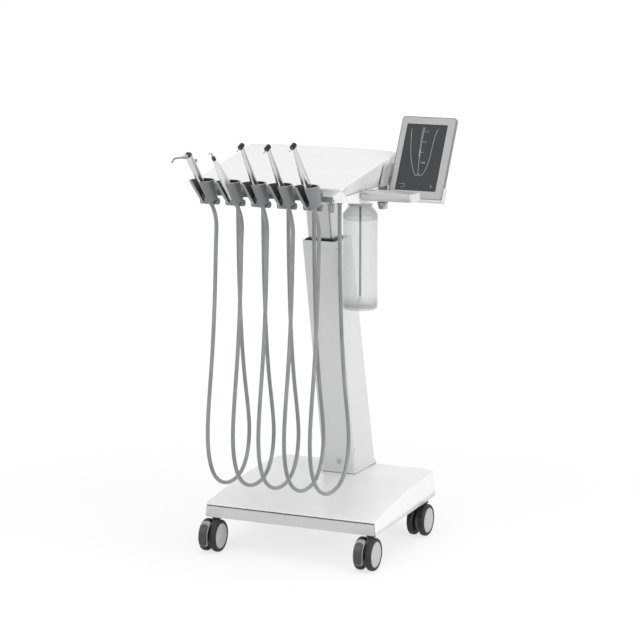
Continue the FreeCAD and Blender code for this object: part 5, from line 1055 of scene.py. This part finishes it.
def makeCaster(name, x, y, braked):
    trail, axle, web = caster["trail"], caster["axle"], caster["web"]
    centre = np.array([x, y - trail, axle])
    wheel = turned(caster["tyre"], 64, 6), turned(caster["disc"], 64, 5)
    parts, shades = [], []
    for side in (-1, 1):
        for shade, (points, faces) in enumerate(wheel):
            parts.append((points[:, [2, 0, 1]] * np.array([side, 1, 1]), [face[::side] for face in faces]))
            shades += [shade] * len(faces)
    rod, faces = lathe(caster["rod"], 24)
    points, allFaces = joined(*parts, (rod[:, [2, 0, 1]], faces))
    addMesh(f"casterWheels_{name}", points + centre, allFaces, ["tyre", "hub", "fitting"], f"wheels_{name}",
            "tyre_rubber", [f"caster_wheels_{name}"], 32, shades=shades + [2] * len(faces))

    # web: the outline of a disc about the axle and of the neck above it
    t = np.radians(np.linspace(*web["angles"], 40))
    around = np.column_stack([web["radius"] * np.cos(t) - trail, web["radius"] * np.sin(t) + axle])
    corners = np.concatenate([around, web["neck"]])
    sides = [np.column_stack([np.full(len(corners), u), corners]) for u in (-web["half"], web["half"])]
    parts = [stacked(sides), turned(caster["stem"], 36)]
    if braked:
        guard, faces = bentPlate(caster["guard"])
        parts.append((guard + np.array([0, -trail, axle]), faces))
    shades = [shade for part, shade in zip(parts, (0, 0, 1)) for _ in part[1]]
    points, faces = joined(*parts)
    item = addMesh(f"casterFork_{name}", points + np.array([x, y, 0]), faces, ["fork", "hood"],
                   f"fork_{name}", "fork_plastic", [f"caster_fork_{name}"], 32, shades=shades)
    bevelled(item, 0.0005, angle=40)
    if braked:
        pedal, faces = bentPlate(caster["pedal"])
        addMesh(f"pedal_{name}", pedal + centre, faces, "pedal", f"pedal_{name}", "pedal_plastic",
                [f"brake_pedal_{name}"], 50)


def makeCasters():
    for end, y in (("front", -caster["y"]), ("back", caster["y"])):
        for side, x in (("left", -caster["x"]), ("right", caster["x"])):
            makeCaster(f"{end}_{side}", x, y, end == "front")
    print("casters made")


# Stage: a pale floor that carries a soft shadow, a high softbox, a key lamp from the right, a little light
# from the front and a small near lamp for the head's front
stage = {"floorTones": (0.93, 0.95), "floorShare": 0.72, "floorGlow": 1.02, "clearFrom": 0.7,
         "clearOver": 0.7, "floorHalf": 40, "world": 0.5, "aim": (0, -0.05, 0.55)}
lamps = {"softbox": {"place": (0.6, -0.8, 6.0), "size": 4.0, "power": 134},
         "key": {"place": (3.6, -0.7, 1.7), "size": 2.0, "power": 55},
         "fill": {"place": (-1.6, -3.6, 3.6), "size": 1.6, "power": 22},
         "near": {"place": (-0.25, -1.3, 1.0), "size": 0.8, "power": 2.4}}


# 1 for rays that come from the camera, from a mirror surface or through glass
def isSeen(paint):
    eye, mirror, glass = [paint.node("LightPath", out=i) for i in (0, 3, 6)]
    return (eye + mirror + glass).clamped()


def makeFloor():
    paint = Paint("floorPale")
    fleck = paint.noise(3, 3)
    away = paint.node("VectorMath", {"operation": "LENGTH"}, {0: paint.place()}, 1)
    clear = ((away - stage["clearFrom"]) / stage["clearOver"]).clamped()
    shown = clear * (1 - stage["floorShare"]) + stage["floorShare"]
    light = paint.node("Emission", None, {"Color": (1, 1, 1, 1), "Strength": stage["floorGlow"]})
    paint.finish(Base_Color=paint.blend(fleck, *map(grey, stage["floorTones"])),
                 Roughness=0.86 + fleck * 0.08, Specular_IOR_Level=0.1)
    mixed = paint.node("MixShader", None, {0: isSeen(paint) * shown, 1: Wire(paint, paint.shader.outputs[0]),
                                           2: light})
    paint.feed(paint.tree.nodes["Material Output"].inputs["Surface"], mixed)
    half = stage["floorHalf"]
    mesh = bpy.data.meshes.new("floor")
    mesh.from_pydata([(x * half, y * half, 0) for x, y in ((-1, -1), (1, -1), (1, 1), (-1, 1))], [],
                     [(0, 1, 2, 3)])
    mesh.materials.append(paint.block)
    placed("floor", mesh)


def makeStage():
    makeFloor()
    world = Paint("studio", "worlds", "Background")
    shown = world.node("MapRange", None, {"Value": isSeen(world), "To Min": stage["world"], "To Max": 1.0})
    world.finish(Strength=shown, Color=(1, 1, 1, 1))
    bpy.context.scene.world = world.block
    for name, facts in lamps.items():
        lamp = bpy.data.lights.new(name, "AREA")
        lamp.shape, lamp.size, lamp.energy = "SQUARE", facts["size"], facts["power"]
        item = placed(name, lamp)
        item.location = Vector(facts["place"])
        item.rotation_euler = (item.location - Vector(stage["aim"])).to_track_quat("Z", "Y").to_euler()
    print("stage and lamps set")


# Frame nodes that keep their own form get a finish by their slot, a few of them one of their own. Numbers at
# the end of a node's name don't count
slotPaints = {"casing_white": "casing", "chassis_paint": "chassis", "column_paint": "column",
              "inner_metal": "innerColumn", "mast_steel": "mast", "black_plastic": "black",
              "spring_paint": "black", "chrome": "chrome", "fitting_steel": "fitting",
              "fork_plastic": "fork", "tyre_rubber": "tyre", "pedal_plastic": "pedal",
              "valve_metal": "fitting", "rail_grey": "rail", "holder_grey": "holder",
              "hose_grey": "hoseSilicone", "handpiece_white": "handpieceWhite",
              "handpiece_metal": "handpiece", "button_grey": "button",
              "bottle_clear": "bottleFrosted", "cap_white": "cap", "handle_grey": "handleMoulded",
              "knob_grey": "knobRibbed", "bezel_grey": "bezel", "cradle_grey": "cradle"}
nodePaints = {"pickup_tube": "pickupTube", "bottle_cap": "capGrey", "column_fasteners": "hub",
              # the tray takes the lighter copy of the casing: painted light on its shaded front
              "tray_shell": "casingSide", "bur": "darkSteel", "turbine_cap": "headBlack"}


def coatNodes():
    for row in frame["record"]["subparts"]:
        node = row["node"]
        paint = paints[nodePaints.get(node.rstrip("_0123456789"), slotPaints[row["material_slot"]])]
        mesh = frame["nodes"][node].data
        for i in range(len(mesh.materials)):
            mesh.materials[i] = paint
        if not mesh.materials:
            mesh.materials.append(paint)
        smoothFaces(mesh, 30)
    print("frame nodes coated")


for make in (setCamera, makePaints, makeHoses, makeBaseCover, makeColumn, makeHeadCover, makeArms,
             makeHolders, makeInstruments, makeBottle, makeTablet, makeCasters, coatNodes, makeStage):
    make()
